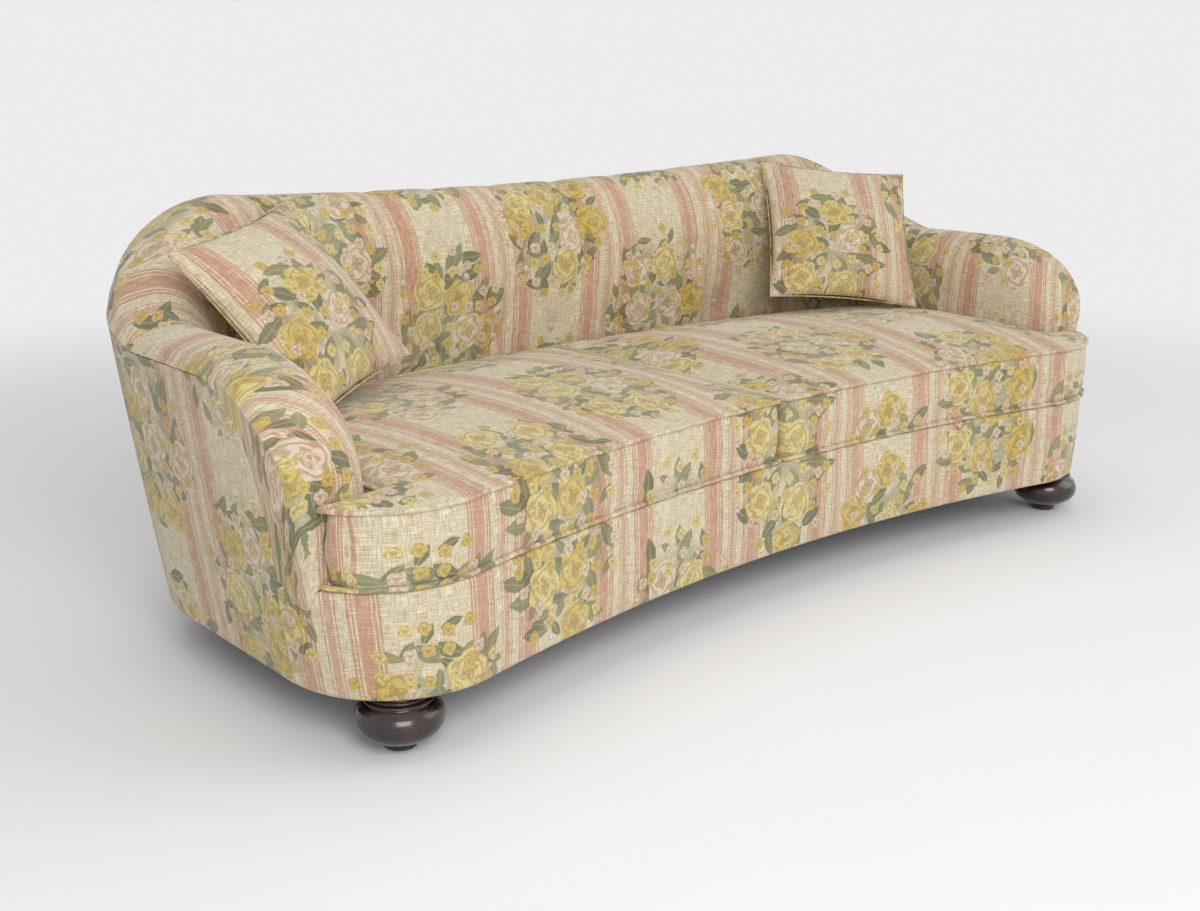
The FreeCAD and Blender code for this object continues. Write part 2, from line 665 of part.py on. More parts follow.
def make_seat_deck():
    left = seat_plan(BORDER_THICKNESS + flare(SEAT_BASE_Z) + CLEARANCE,
                     BODY_HALF_WIDTH - ARM_SECTION[1][0] - CLEARANCE,
                     BACK_RADIUS - DECK_REAR_INSET, -DECK_NOSE_REACH, 0.0)
    half = slab(left, PAD_BASE_Z, SEAT_BASE_Z - CLEARANCE)
    parts["seat_deck"] = half.fuse(mirrored(half)).removeSplitter()


def crown_loft():
    """Return a block whose top is the crown of the left cushion."""
    along = ((-1.0, 0.10), (-0.852, 0.62), (-0.661, 1.0), (-0.278, 1.0), (-0.087, 0.62),
             (0.0, 0.25))
    across = ((0.0, 0.0), (0.12, 0.5), (0.35, 1.0), (0.65, 1.0), (0.88, 0.5), (1.0, 0.0))
    wires = []
    for place, share in along:
        x = place * CROWN_REACH
        front = math.sqrt(FRONT_RADIUS ** 2 - x ** 2)
        rear = math.sqrt(CUSHION_REAR_RADIUS ** 2 - x ** 2)
        points = [V(x, front + (rear - front) * part, CUSHION_EDGE_Z + rise * share * CUSHION_CROWN)
                  for part, rise in across]
        wires.append(quad_wire(points + [V(x, rear, 0), V(x, front, 0)]))
    return loft(wires)


def cushion_wire(inset, z):
    """Return the left cushion's outline at a height, drawn in, with its corners rounded."""
    plan = seat_plan(inset, CUSHION_SIDE_X - inset, CUSHION_REAR_RADIUS - inset,
                     SOFT_GAP + inset, SOFT_GAP + inset)
    rounded = rounded_upright_edges(slab(plan, z, z + 10.0), CUSHION_CORNER_RADIUS)
    return [face for face in rounded.Faces
            if face.BoundBox.ZMax < z + 1.0][0].OuterWire


def make_seat_cushions():
    low = SEAT_BASE_Z + SOFT_GAP
    border = CUSHION_EDGE_Z - low
    levels = ((PIPING_SEAT, low), (-SIDE_BULGE, low + 0.5 * border), (PIPING_SEAT, CUSHION_EDGE_Z),
              (PIPING_SEAT, CUSHION_EDGE_Z + 2 * CUSHION_CROWN))
    walls = loft([cushion_wire(PIPING_INSET + inset, z) for inset, z in levels])
    on_both_sides("seat_cushion", walls.common(crown_loft()))
    loops = [piping_loop(z) for z in (low + PIPING_RADIUS, CUSHION_EDGE_Z - PIPING_RADIUS)]
    on_both_sides("seat_piping", Part.makeCompound(loops))


def piping_loop(z):
    """Return a cord along the cushion's outline, with a square section that stands on edge."""
    low, middle, high = z - PIPING_RADIUS, z, z + PIPING_RADIUS
    ends = (cushion_wire(PIPING_INSET, low), cushion_wire(PIPING_INSET, high))
    outer = loft([ends[0], cushion_wire(PIPING_INSET - PIPING_RADIUS, middle), ends[1]])
    inner = loft([ends[0], cushion_wire(PIPING_INSET + PIPING_RADIUS, middle), ends[1]])
    return outer.cut(inner)


def make_zips():
    """Make the zip in the rear border of each seat cushion: its tape and its slider."""
    middle = (SEAT_BASE_Z + SOFT_GAP + CUSHION_EDGE_Z) / 2
    face = CUSHION_REAR_RADIUS - PIPING_INSET + SIDE_BULGE + CLEARANCE
    tape = ring(face, face + ZIP_THICKNESS, middle - ZIP_WIDTH / 2, middle + ZIP_WIDTH / 2,
                ZIP_START, ZIP_END)
    on_both_sides("zip_tape", tape)
    low = face + ZIP_THICKNESS + CLEARANCE
    slider = radial_box(ZIP_START + 0.2, SLIDER_LENGTH, low, low + SLIDER_THICKNESS,
                        middle - SLIDER_WIDTH / 2, middle + SLIDER_WIDTH / 2)
    on_both_sides("zip_slider", slider)


def flat_faced(sections):
    """Return the solid of flat triangles between sections of equally many points."""
    faces = [Part.Face(quad_wire(sections[0])), Part.Face(quad_wire(sections[-1]))]
    for one, two in zip(sections, sections[1:]):
        for i in range(len(one)):
            faces.append(Part.Face(quad_wire([one[i - 1], one[i], two[i]])))
            faces.append(Part.Face(quad_wire([one[i - 1], two[i], two[i - 1]])))
    solid = Part.Solid(Part.Shell(faces))
    solid.fix(1e-6, 1e-6, 1e-6)
    return solid


def scatter_cushion():
    """Return a knife-edge cushion, swollen in the middle and drawn in between its corners."""
    half = SCATTER_SIZE / 2
    profile = ((-1.0, 0.07), (-0.78, 0.5), (-0.4, 0.87), (0.0, 0.9), (0.4, 0.87), (0.78, 0.5),
               (1.0, 0.07))
    sections = []
    for share, full in profile:
        reach = half - SCATTER_WAIST * (1 - share ** 2)
        face = [(reach * up, max(0.07, full * bulge)) for up, bulge in profile]
        front = [V(share * half, -SCATTER_FRONT_SWELL * deep, z) for z, deep in face]
        rear = [V(share * half, SCATTER_REAR_SWELL * deep, z) for z, deep in reversed(face)]
        sections.append(front + rear)
    return flat_faced(sections)


def make_scatter_cushions():
    """Lay the loose cushions in the corners: each rolls, leans back and then turns inward."""
    lies = (("left", -1, SCATTER_LEFT_PLACE, SCATTER_LEFT_TURNS),
            ("right", 1, SCATTER_RIGHT_PLACE, SCATTER_RIGHT_TURNS))
    for name, side, (out, back, up), turns in lies:
        cushion = scatter_cushion()
        for axis, degrees in zip((V(0, 1, 0), V(1, 0, 0), V(0, 0, 1)), turns):
            cushion.rotate(V(0, 0, 0), axis, degrees)
        cushion.translate(V(side * (REAR_CORNER_X + out), REAR_CORNER_Y + back,
                            CUSHION_EDGE_Z + up))
        parts["scatter_cushion_" + name] = cushion


def footprint_shift():
    """Return how far the plan axis lies from the middle of the sofa's depth."""
    ends = []
    for name in ("seat_cushion_left", "back_pad", "back_panel", "front_border"):
        around = parts[name].optimalBoundingBox()
        ends += [around.YMin, around.YMax]
    return -(min(ends) + max(ends)) / 2


def main():
    make_base_frame()
    make_stretchers()
    make_corner_blocks()
    make_feet()
    make_upper_frame()
    make_webbing()
    make_outside_panels()
    make_arm_pads()
    make_back_pad()
    make_buttons()
    make_front_border()
    make_dust_cover()
    make_seat_deck()
    make_seat_cushions()
    make_zips()
    make_scatter_cushions()
    os.makedirs("parts", exist_ok=True)
    shift = footprint_shift()
    print("plan axis at y", round(shift, 3))
    for name, shape in parts.items():
        shape.translate(V(0, shift, 0))
        shape.exportStep("parts/" + name + ".step")


main()
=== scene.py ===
import math

import bmesh
import bpy
import numpy as np
from mathutils import Matrix, Vector


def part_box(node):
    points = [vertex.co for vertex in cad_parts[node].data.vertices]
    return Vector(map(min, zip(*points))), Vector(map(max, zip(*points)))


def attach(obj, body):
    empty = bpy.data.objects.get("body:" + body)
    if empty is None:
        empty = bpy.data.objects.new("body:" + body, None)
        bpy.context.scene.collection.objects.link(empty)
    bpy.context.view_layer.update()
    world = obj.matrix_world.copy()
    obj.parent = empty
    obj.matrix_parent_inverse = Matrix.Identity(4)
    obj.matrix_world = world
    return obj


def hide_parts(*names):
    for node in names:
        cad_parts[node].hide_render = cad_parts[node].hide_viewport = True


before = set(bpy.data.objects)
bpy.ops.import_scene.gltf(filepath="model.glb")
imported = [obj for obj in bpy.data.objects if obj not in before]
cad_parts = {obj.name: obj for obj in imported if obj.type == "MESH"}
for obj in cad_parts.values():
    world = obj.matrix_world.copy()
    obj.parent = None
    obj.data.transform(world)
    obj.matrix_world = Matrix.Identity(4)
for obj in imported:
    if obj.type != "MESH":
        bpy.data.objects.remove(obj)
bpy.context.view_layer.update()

# Plan of the body, in metres. The long pieces follow circles about an upright axis
# that stands in front of the sofa.
AXIS_Y = -4.015781
FRONT_RADIUS = 3.600
BACK_RADIUS = 4.465
HALF_WIDTH = 1.076
FRONT_CORNER = 0.205
REAR_CORNER = 0.310
BODY_BOTTOM = 0.103
SEAT_BASE = 0.293
PAD_BASE = 0.2615
ARM_CREST = 0.642
BACK_CREST = 0.797
CREST_RISE = 0.030
CREST_RISE_AT = 0.824
SHOULDER = 0.827
ARM_SEAM = 0.604
BACK_SEAM = 0.690
SEAM_CLIMB = 0.371
FLARE = 0.072
FLARE_TOP = 0.680

# Arm, front end
NOSE_Y = FRONT_RADIUS + 0.014
NOSE_LENGTH = 0.222
NOSE_START = 0.463
NOSE_PLAN = 0.080
NOSE_NARROWING = 0.45
SEAM_NOSE_LENGTH = 0.150
SEAM_NOSE = 0.400
PANEL_FRONT_Y = NOSE_Y + 0.080

# Upholstery
BORDER_THICKNESS = 0.020
PANEL_THICKNESS = 0.010
TUCK = 0.004
CLEARANCE = 0.0003
BACK_SECTION = ((0.103, 0.0), (0.133, 0.38), (0.150, 0.65), (0.143, 0.77), (0.124, 0.87),
                (0.082, 0.965), (0.022, 1.0), (-0.046, 0.955), (-0.068, 0.84))
ARM_SECTION = ((0.118, 0.0), (0.125, 0.38), (0.122, 0.62), (0.115, 0.76), (0.101, 0.87),
               (0.068, 0.965), (0.022, 1.0), (-0.038, 0.968), (-0.060, 0.912))
LOWER_ROW = 1
UPPER_ROW = 2
BACK_FACE_RADIUS = BACK_RADIUS - BACK_SECTION[UPPER_ROW][0]
BUTTON_PITCH = 0.173
BUTTON_COLUMNS = 7
TUFT_DEPTH = 0.015

# Seat cushions
EDGE_Z = 0.425
CROWN = 0.048
SEAT_REAR_RADIUS = BACK_RADIUS - 0.144
SEAT_SIDE_X = HALF_WIDTH - 0.128
SEAT_REAR_CORNER = 0.198
SEAT_GAP = 0.0006
PIPING_RADIUS = 0.0045
BORDER_TRACK = 8

# Scatter cushions: half a side, place in the plan, and turns about Y, X and Z
SCATTER_HALF = 0.196
SCATTERS = {"left": ((-0.8009, 4.1070, 0.6384), (-9.7, -39.4, 22.6)),
            "right": ((0.7691, 4.1178, 0.6436), (7.0, -35.7, -27.9))}

# Feet
FEET = ((0.953, 3.580), (0.905, 4.222))


# Stage
BACKDROP = (0.84, 0.84, 0.84, 1.0)
FLOOR_HALF = 14.0
CAMERA_PLACE = (-2.1104, -2.2433, 1.1005)
CAMERA_TILT = 74.05
CAMERA_TURN = -41.39
CAMERA_LENS = 42.77


# Materials

def linear(red, green, blue):
    """Return a colour from its usual 0 to 255 steps as the renderer counts it."""
    return tuple((c / 255) ** 2.2 for c in (red, green, blue)) + (1.0,)


LINEN = linear(229, 218, 190)
LINEN_SHADE = linear(190, 175, 143)
ROSE = linear(188, 130, 104)
YELLOW = linear(206, 182, 88)
CREAM = linear(222, 206, 132)
BLUSH = linear(224, 205, 184)
OCHRE = linear(146, 112, 48)
LEAF = linear(122, 128, 86)
LEAF_DARK = linear(80, 91, 60)
VEIN = linear(158, 160, 112)


def node(tree, kind, inputs=None, **settings):
    """Add a node, with its settings and with values or links on its inputs."""
    new = tree.nodes.new(kind)
    for key, value in settings.items():
        setattr(new, key, value)
    for key, value in (inputs or {}).items():
        if isinstance(value, bpy.types.NodeSocket):
            tree.links.new(value, new.inputs[key])
        else:
            new.inputs[key].default_value = value
    return new


def calc(tree, operation, *values):
    values = {i: v for i, v in enumerate(values)}
    return node(tree, "ShaderNodeMath", values, operation=operation).outputs[0]


def blend_colour(tree, factor, one, two, mode="MIX"):
    mixer = node(tree, "ShaderNodeMix", {0: factor, 6: one, 7: two}, data_type="RGBA",
                 blend_type=mode)
    return mixer.outputs[2]


def stepped(tree, value, low, high):
    """Return 0 below low, 1 above high and a soft step between."""
    found = node(tree, "ShaderNodeMapRange", {0: value, 1: low, 2: high, 3: 0.0, 4: 1.0},
                 interpolation_type="SMOOTHSTEP")
    return found.outputs[0]


def split(tree, vector):
    return node(tree, "ShaderNodeSeparateXYZ", {0: vector}).outputs


def noise(tree, vector, scale, detail=2.0, rough=0.5):
    made = node(tree, "ShaderNodeTexNoise", {"Vector": vector, "Scale": scale, "Detail": detail,
                                             "Roughness": rough})
    return made.outputs[0]


# Widths of one repeat of the stripes, in millimetres: bare cloth and dyed bands by turns
STRIPE_WIDTHS = (74, 4, 3, 4, 3, 25, 3, 4, 3, 4, 17, 3, 4, 13, 4, 3, 17, 4, 3, 4, 3, 25, 3, 4,
                 3, 4, 74)
STRIPE_REPEAT = 0.001 * sum(STRIPE_WIDTHS)
SPRAY_COLUMN = 2 * STRIPE_REPEAT
SPRAY_ROW = 0.47


def spray_envelope(tree, u, v):
    """Return the squared distance from the nearest spray's middle, 1 at the spray's edge."""
    found = []
    for side, up in ((0.0, 0.0), (STRIPE_REPEAT, SPRAY_ROW / 2)):
        near = []
        for value, offset, pitch, reach in ((u, side, SPRAY_COLUMN, 0.130),
                                            (v, up, SPRAY_ROW, 0.165)):
            moved = calc(tree, "SUBTRACT", value, offset)
            cell = calc(tree, "ROUND", calc(tree, "DIVIDE", moved, pitch))
            rest = calc(tree, "SUBTRACT", moved, calc(tree, "MULTIPLY", cell, pitch))
            near.append(calc(tree, "POWER", calc(tree, "DIVIDE",
                                                 calc(tree, "ABSOLUTE", rest), reach), 2.0))
        found.append(calc(tree, "ADD", near[0], near[1]))
    return calc(tree, "MINIMUM", found[0], found[1])


def scattered_motif(tree, spot, per_metre, randomness, reach):
    """Return a motif's own coordinates and colour seed, and whether its spray holds it."""
    cells = node(tree, "ShaderNodeTexVoronoi", {"Vector": spot, "Scale": per_metre,
                                                "Randomness": randomness},
                 voronoi_dimensions="2D")
    centre = cells.outputs["Position"]
    local = node(tree, "ShaderNodeVectorMath", {0: spot, 1: centre},
                 operation="SUBTRACT").outputs[0]
    x, y, z = split(tree, local)
    cu, cv, cz = split(tree, centre)
    held = calc(tree, "LESS_THAN", spray_envelope(tree, cu, cv), reach)
    seeds = node(tree, "ShaderNodeSeparateColor", {0: cells.outputs["Color"]}).outputs
    return x, y, seeds, held


def add_leaves(tree, spot, colour, per_metre, reach, length, half_width):
    """Lay pointed leaves with a pale vein over the cloth's colour."""
    x, y, seeds, held = scattered_motif(tree, spot, per_metre, 0.8, reach)
    turn = calc(tree, "MULTIPLY", seeds[1], 2 * math.pi)
    c = calc(tree, "COSINE", turn)
    s = calc(tree, "SINE", turn)
    along = calc(tree, "ADD", calc(tree, "MULTIPLY", x, c), calc(tree, "MULTIPLY", y, s))
    across = calc(tree, "SUBTRACT", calc(tree, "MULTIPLY", y, c), calc(tree, "MULTIPLY", x, s))
    share = calc(tree, "DIVIDE", along, length)
    width = calc(tree, "MULTIPLY_ADD", calc(tree, "POWER", calc(tree, "ABSOLUTE", share), 1.7),
                 -half_width, half_width)
    off = calc(tree, "ABSOLUTE", across)
    inside = stepped(tree, calc(tree, "SUBTRACT", width, off), 0.0, 0.0016)
    vein = calc(tree, "SUBTRACT", 1.0, stepped(tree, off, 0.0004, 0.0016))
    ribs = calc(tree, "SINE", calc(tree, "MULTIPLY", calc(tree, "ADD", along, off), 900.0))
    tone = blend_colour(tree, stepped(tree, calc(tree, "MULTIPLY_ADD", ribs, 0.18, seeds[0]),
                                      0.1, 0.9), LEAF_DARK, LEAF)
    tone = blend_colour(tree, calc(tree, "MULTIPLY", vein, 0.7), tone, VEIN)
    return blend_colour(tree, calc(tree, "MULTIPLY", inside, held), colour, tone)


def add_blossoms(tree, spot, colour, per_metre, radius, reach, petals):
    """Lay round flowers of ringed petals over the cloth's colour."""
    x, y, seeds, held = scattered_motif(tree, spot, per_metre, 0.55, reach)
    turn = calc(tree, "ARCTAN2", y, x)
    far = calc(tree, "SQRT", calc(tree, "ADD", calc(tree, "MULTIPLY", x, x),
                                  calc(tree, "MULTIPLY", y, y)))
    share = calc(tree, "DIVIDE", far, radius)
    start = calc(tree, "MULTIPLY", seeds[2], 6.0)
    lobes = calc(tree, "SINE", calc(tree, "MULTIPLY_ADD", turn, petals, start))
    edge = calc(tree, "MULTIPLY_ADD", lobes, 0.09, 0.90)
    inside = stepped(tree, calc(tree, "SUBTRACT", edge, share), 0.0, 0.05)
    swirl = calc(tree, "MULTIPLY_ADD", turn, petals - 1.0,
                 calc(tree, "MULTIPLY", share, 9.0))
    rings = calc(tree, "SINE", calc(tree, "MULTIPLY_ADD", share, 17.0,
                                    calc(tree, "MULTIPLY", calc(tree, "SINE", swirl), 1.5)))
    kinds = node(tree, "ShaderNodeValToRGB", {0: seeds[0]})
    kinds.color_ramp.interpolation = "CONSTANT"
    stops = kinds.color_ramp.elements
    stops[0].color = YELLOW
    stops[1].position = 0.42
    stops[1].color = CREAM
    last = stops.new(0.74)
    last.color = BLUSH
    deep = blend_colour(tree, 0.6, kinds.outputs[0], OCHRE)
    tone = blend_colour(tree, stepped(tree, rings, -0.9, 0.5), deep, kinds.outputs[0])
    heart = calc(tree, "SUBTRACT", 1.0, stepped(tree, share, 0.10, 0.34))
    tone = blend_colour(tree, calc(tree, "MULTIPLY", heart, 0.65), tone, OCHRE)
    rim = stepped(tree, calc(tree, "SUBTRACT", edge, share), 0.14, 0.0)
    tone = blend_colour(tree, calc(tree, "MULTIPLY", rim, 0.30), tone, OCHRE)
    return blend_colour(tree, calc(tree, "MULTIPLY", inside, held), colour, tone)


def linen_cloth_group():
    """Make the cloth: stripes, sprays of flowers and slubbed threads, from a map in metres."""
    tree = bpy.data.node_groups.new("linen_cloth", "ShaderNodeTree")
    face = tree.interface
    face.new_socket("Map", in_out="INPUT", socket_type="NodeSocketVector")
    face.new_socket("Colour", in_out="OUTPUT", socket_type="NodeSocketColor")
    face.new_socket("Height", in_out="OUTPUT", socket_type="NodeSocketFloat")
    start = tree.nodes.new("NodeGroupInput").outputs[0]
    wander = node(tree, "ShaderNodeTexNoise", {"Vector": start, "Scale": 60.0, "Detail": 3.0})
    shift = node(tree, "ShaderNodeVectorMath", {0: wander.outputs["Color"],
                                                1: (0.5, 0.5, 0.5)}, operation="SUBTRACT")
    spot = node(tree, "ShaderNodeVectorMath", {0: shift.outputs[0], 1: (0.007, 0.007, 0.0),
                                               2: start}, operation="MULTIPLY_ADD").outputs[0]
    u, v, w = split(tree, start)
    thread_edge = calc(tree, "MULTIPLY_ADD", noise(tree, start, 300.0), 0.0018, u)
    repeat = calc(tree, "FRACT", calc(tree, "DIVIDE", thread_edge, STRIPE_REPEAT))
    bands = node(tree, "ShaderNodeValToRGB", {0: repeat})
    bands.color_ramp.interpolation = "CONSTANT"
    stops = bands.color_ramp.elements
    stops.remove(stops[1])
    stops[0].color = (0.0, 0.0, 0.0, 1.0)
    reach = 0.0
    for i, width in enumerate(STRIPE_WIDTHS[:-1]):
        reach += 0.001 * width / STRIPE_REPEAT
        shade = 0.0 if i % 2 else (0.75 if i == 12 else 1.0)
        new = stops.new(reach)
        new.color = (shade, shade, shade, 1.0)
    across = node(tree, "ShaderNodeVectorMath", {0: start, 1: (620.0, 38.0, 1.0)},
                  operation="MULTIPLY").outputs[0]
    along = node(tree, "ShaderNodeVectorMath", {0: start, 1: (38.0, 620.0, 1.0)},
                 operation="MULTIPLY").outputs[0]
    warp = noise(tree, across, 1.0, 2.0, 0.6)
    weft = noise(tree, along, 1.0, 2.0, 0.6)
    threads = calc(tree, "ADD", warp, weft)
    slub = stepped(tree, threads, 0.72, 1.28)
    cloth = blend_colour(tree, slub, LINEN_SHADE, LINEN)
    colour = blend_colour(tree, calc(tree, "MULTIPLY", bands.outputs[0],
                                     calc(tree, "MULTIPLY_ADD", slub, -0.22, 0.82)),
                          cloth, ROSE)
    su, sv, sw = split(tree, spot)
    shadow = calc(tree, "MULTIPLY", stepped(tree, spray_envelope(tree, su, sv), 0.95, 0.5),
                  stepped(tree, noise(tree, start, 26.0), 0.38, 0.55))
    printed = blend_colour(tree, calc(tree, "MULTIPLY", shadow, 0.6), colour, LEAF)
    printed = add_leaves(tree, spot, printed, 15.0, 1.25, 0.036, 0.0150)
    printed = add_leaves(tree, spot, printed, 24.0, 1.15, 0.024, 0.0100)
    printed = add_blossoms(tree, spot, printed, 9.8, 0.046, 1.0, 5.0)
    printed = add_blossoms(tree, spot, printed, 25.0, 0.0135, 1.35, 4.0)
    colour = blend_colour(tree, calc(tree, "MULTIPLY_ADD", slub, 0.22, 0.70), colour, printed)
    worn = noise(tree, start, 7.0, 4.0)
    colour = blend_colour(tree, calc(tree, "MULTIPLY", stepped(tree, worn, 0.42, 0.75), 0.16),
                          colour, LINEN)
    shaded = blend_colour(tree, 0.5, colour, blend_colour(
        tree, stepped(tree, threads, 0.65, 1.35), (0.60, 0.58, 0.54, 1), (1, 1, 1, 1)),
        "MULTIPLY")
    fine_u = calc(tree, "SINE", calc(tree, "MULTIPLY", u, 2 * math.pi / 0.0016))
    fine_v = calc(tree, "SINE", calc(tree, "MULTIPLY", v, 2 * math.pi / 0.0016))
    height = calc(tree, "MULTIPLY_ADD", calc(tree, "MULTIPLY", fine_u, fine_v), 0.18, threads)
    node(tree, "NodeGroupOutput", {0: shaded, 1: height})
    return tree


def finish_material(name, colour, bump=0.3, distance=0.001, **sockets):
    """Make a material whose colour and height come from a function of its own tree."""
    material = bpy.data.materials.new(name)
    material.use_nodes = True
    tree = material.node_tree
    shader = tree.nodes["Principled BSDF"]
    for key, value in sockets.items():
        socket = shader.inputs[key.replace("_", " ")]
        socket.default_value = value
    made = colour(tree)
    tree.links.new(made[0], shader.inputs["Base Color"])
    if len(made) > 2:
        tree.links.new(made[2], shader.inputs["Roughness"])
    raised = node(tree, "ShaderNodeBump", {"Strength": bump, "Distance": distance,
                                           "Height": made[1]})
    tree.links.new(raised.outputs[0], shader.inputs["Normal"])
    return material


CLOTH = linen_cloth_group()


def cloth_colour(move=(0.0, 0.0, 0.0)):
    """Return the maker of the cloth's colour, with the pattern moved."""
    def make(tree):
        surface_map = node(tree, "ShaderNodeUVMap", uv_map="cloth").outputs[0]
        placed = node(tree, "ShaderNodeMapping", {"Vector": surface_map,
                                                  "Location": move}).outputs[0]
        cloth = node(tree, "ShaderNodeGroup", node_tree=CLOTH)
        tree.links.new(placed, cloth.inputs[0])
        rough = calc(tree, "MULTIPLY_ADD", cloth.outputs[1], -0.08, 0.96)
        return cloth.outputs[0], cloth.outputs[1], rough
    return make


def object_spot(tree, scale):
    place = node(tree, "ShaderNodeTexCoord").outputs["Object"]
    return node(tree, "ShaderNodeVectorMath", {0: place, 1: scale},
                operation="MULTIPLY").outputs[0]


def grained(dark, light, scale, rough_low, rough_high):
    """Return the maker of a two-tone surface whose grain follows one direction."""
    def make(tree):
        grain = noise(tree, object_spot(tree, scale), 1.0, 6.0, 0.62)
        fleck = noise(tree, object_spot(tree, tuple(5 * s for s in scale)), 1.0, 3.0)
        both = calc(tree, "MULTIPLY_ADD", fleck, 0.35, grain)
        colour = blend_colour(tree, stepped(tree, both, 0.45, 0.95), dark, light)
        rough = calc(tree, "MULTIPLY_ADD", both, rough_high - rough_low, rough_low)
        return colour, both, rough
    return make


def woven(dark, light, pitch):
    """Return the maker of a plain woven surface on object coordinates."""
    def make(tree):
        x, y, z = split(tree, object_spot(tree, (1.0, 1.0, 1.0)))
        rate = 2 * math.pi / pitch
        one = calc(tree, "SINE", calc(tree, "MULTIPLY", x, rate))
        two = calc(tree, "SINE", calc(tree, "MULTIPLY", calc(tree, "ADD", y, z), rate))
        weave = calc(tree, "MULTIPLY", one, two)
        soil = noise(tree, object_spot(tree, (9.0, 9.0, 9.0)), 1.0, 4.0)
        tone = calc(tree, "MULTIPLY_ADD", weave, 0.25, soil)
        colour = blend_colour(tree, stepped(tree, tone, 0.2, 0.8), dark, light)
        return colour, weave, calc(tree, "MULTIPLY_ADD", soil, 0.2, 0.75)
    return make


linen = finish_material("striped_floral_linen", cloth_colour(), bump=0.45, distance=0.0012,
                        Sheen_Weight=0.25, Sheen_Roughness=0.5, Specular_IOR_Level=0.2)
scatter_linen = finish_material("scatter_linen", cloth_colour((0.045, 0.09, 0.0)), bump=0.45,
                                distance=0.0012, Sheen_Weight=0.25, Sheen_Roughness=0.5,
                                Specular_IOR_Level=0.2)
espresso = finish_material(
    "espresso_lacquered_wood",
    grained(linear(24, 14, 12), linear(58, 34, 27), (26.0, 26.0, 5.0), 0.16, 0.34),
    bump=0.08, distance=0.0006, Coat_Weight=0.6, Coat_Roughness=0.12)
hardwood = finish_material(
    "sawn_hardwood", grained(linear(150, 112, 74), linear(205, 172, 128), (9.0, 60.0, 60.0),
                             0.5, 0.8), bump=0.3)
steel = finish_material("zinc_plated_steel",
                        grained(linear(120, 122, 125), linear(196, 198, 202),
                                (300.0, 300.0, 80.0), 0.25, 0.45), bump=0.1, Metallic=1.0)
webbing_cloth = finish_material("jute_webbing", woven(linear(120, 98, 64), linear(186, 160, 116),
                                                      0.004), bump=0.6)
deck_cloth = finish_material("deck_lining", woven(linear(176, 164, 140), linear(214, 204, 182),
                                                  0.003), bump=0.4, Sheen_Weight=0.2)
dust_cloth = finish_material("black_bottoming", woven(linear(18, 18, 19), linear(48, 48, 50),
                                                      0.0025), bump=0.4)
glide_plastic = finish_material("black_glide_plastic",
                                grained(linear(20, 20, 21), linear(44, 44, 46),
                                        (200.0, 200.0, 200.0), 0.4, 0.6), bump=0.2)
zip_cloth = finish_material("zip_tape", woven(linear(150, 138, 112), linear(196, 184, 156),
                                              0.0014), bump=0.5)
brass = finish_material("dulled_brass", grained(linear(128, 104, 58), linear(188, 162, 100),
                                                (400.0, 400.0, 400.0), 0.3, 0.5), bump=0.1,
                        Metallic=1.0)


def dress_frame():
    """Give every piece of the frame that stays its finish."""
    by_node = {"zip_slider": brass, "zip_tape": zip_cloth, "dust": dust_cloth,
               "seat_deck": deck_cloth, "webbing": webbing_cloth, "bolts": steel,
               "nuts": steel, "glides": glide_plastic}
    for name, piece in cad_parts.items():
        found = [finish for key, finish in by_node.items() if key in name]
        finish = found[0] if found else hardwood
        for i in range(len(piece.data.materials)):
            piece.data.materials[i] = finish
        if not piece.data.materials:
            piece.data.materials.append(finish)


# Shapes

def catmull(points, steps):
    """Return a smooth curve through points, with steps pieces between each two."""
    p = np.array(points, float)
    p = np.vstack([2 * p[0] - p[1], p, 2 * p[-1] - p[-2]])
    found = []
    for i in range(1, len(p) - 2):
        a, b, c, d = p[i - 1], p[i], p[i + 1], p[i + 2]
        for k in range(steps):
            t = k / steps
            found.append(0.5 * (2 * b + (c - a) * t + (2 * a - 5 * b + 4 * c - d) * t ** 2
                                + (3 * b - a - 3 * c + d) * t ** 3))
    found.append(p[-2])
    return np.array(found)


def made_object(name, points, faces, uv, material):
    """Make a mesh object, with its map in metres, its faces outward and smooth."""
    mesh = bpy.data.meshes.new(name)
    mesh.from_pydata([tuple(p) for p in np.asarray(points).reshape(-1, 3)], [], faces)
    work = bmesh.new()
    work.from_mesh(mesh)
    bmesh.ops.recalc_face_normals(work, faces=work.faces[:])
    work.to_mesh(mesh)
    work.free()
    if uv is not None:
        flat = np.asarray(uv, float).reshape(-1, 2)
        layer = mesh.uv_layers.new(name="cloth")
        spots = np.zeros(len(mesh.loops), int)
        mesh.loops.foreach_get("vertex_index", spots)
        layer.data.foreach_set("uv", flat[spots].ravel())
    mesh.shade_smooth()
    mesh.set_sharp_from_angle(angle=math.radians(48))
    mesh.materials.append(material)
    piece = bpy.data.objects.new(name, mesh)
    bpy.context.scene.collection.objects.link(piece)
    return piece


def lengths_along(line):
    """Return the length from a line's first point to each of its points."""
    return np.concatenate([[0.0], np.cumsum(np.linalg.norm(np.diff(line, axis=0), axis=1))])


def closed_faces(rows, count, start=0):
    """Return the faces of a tube of sections with a flat face over each end."""
    faces = []
    for i in range(rows - 1):
        low, high = start + i * count, start + (i + 1) * count
        for j in range(count):
            k = (j + 1) % count
            faces.append((low + j, low + k, high + k, high + j))
    last = start + (rows - 1) * count
    return faces + [tuple(range(start, start + count)), tuple(range(last, last + count))]


def tangent_centre(half_width, radius, corner, sign):
    x = half_width - corner
    return x, math.sqrt((radius + sign * corner) ** 2 - x ** 2)


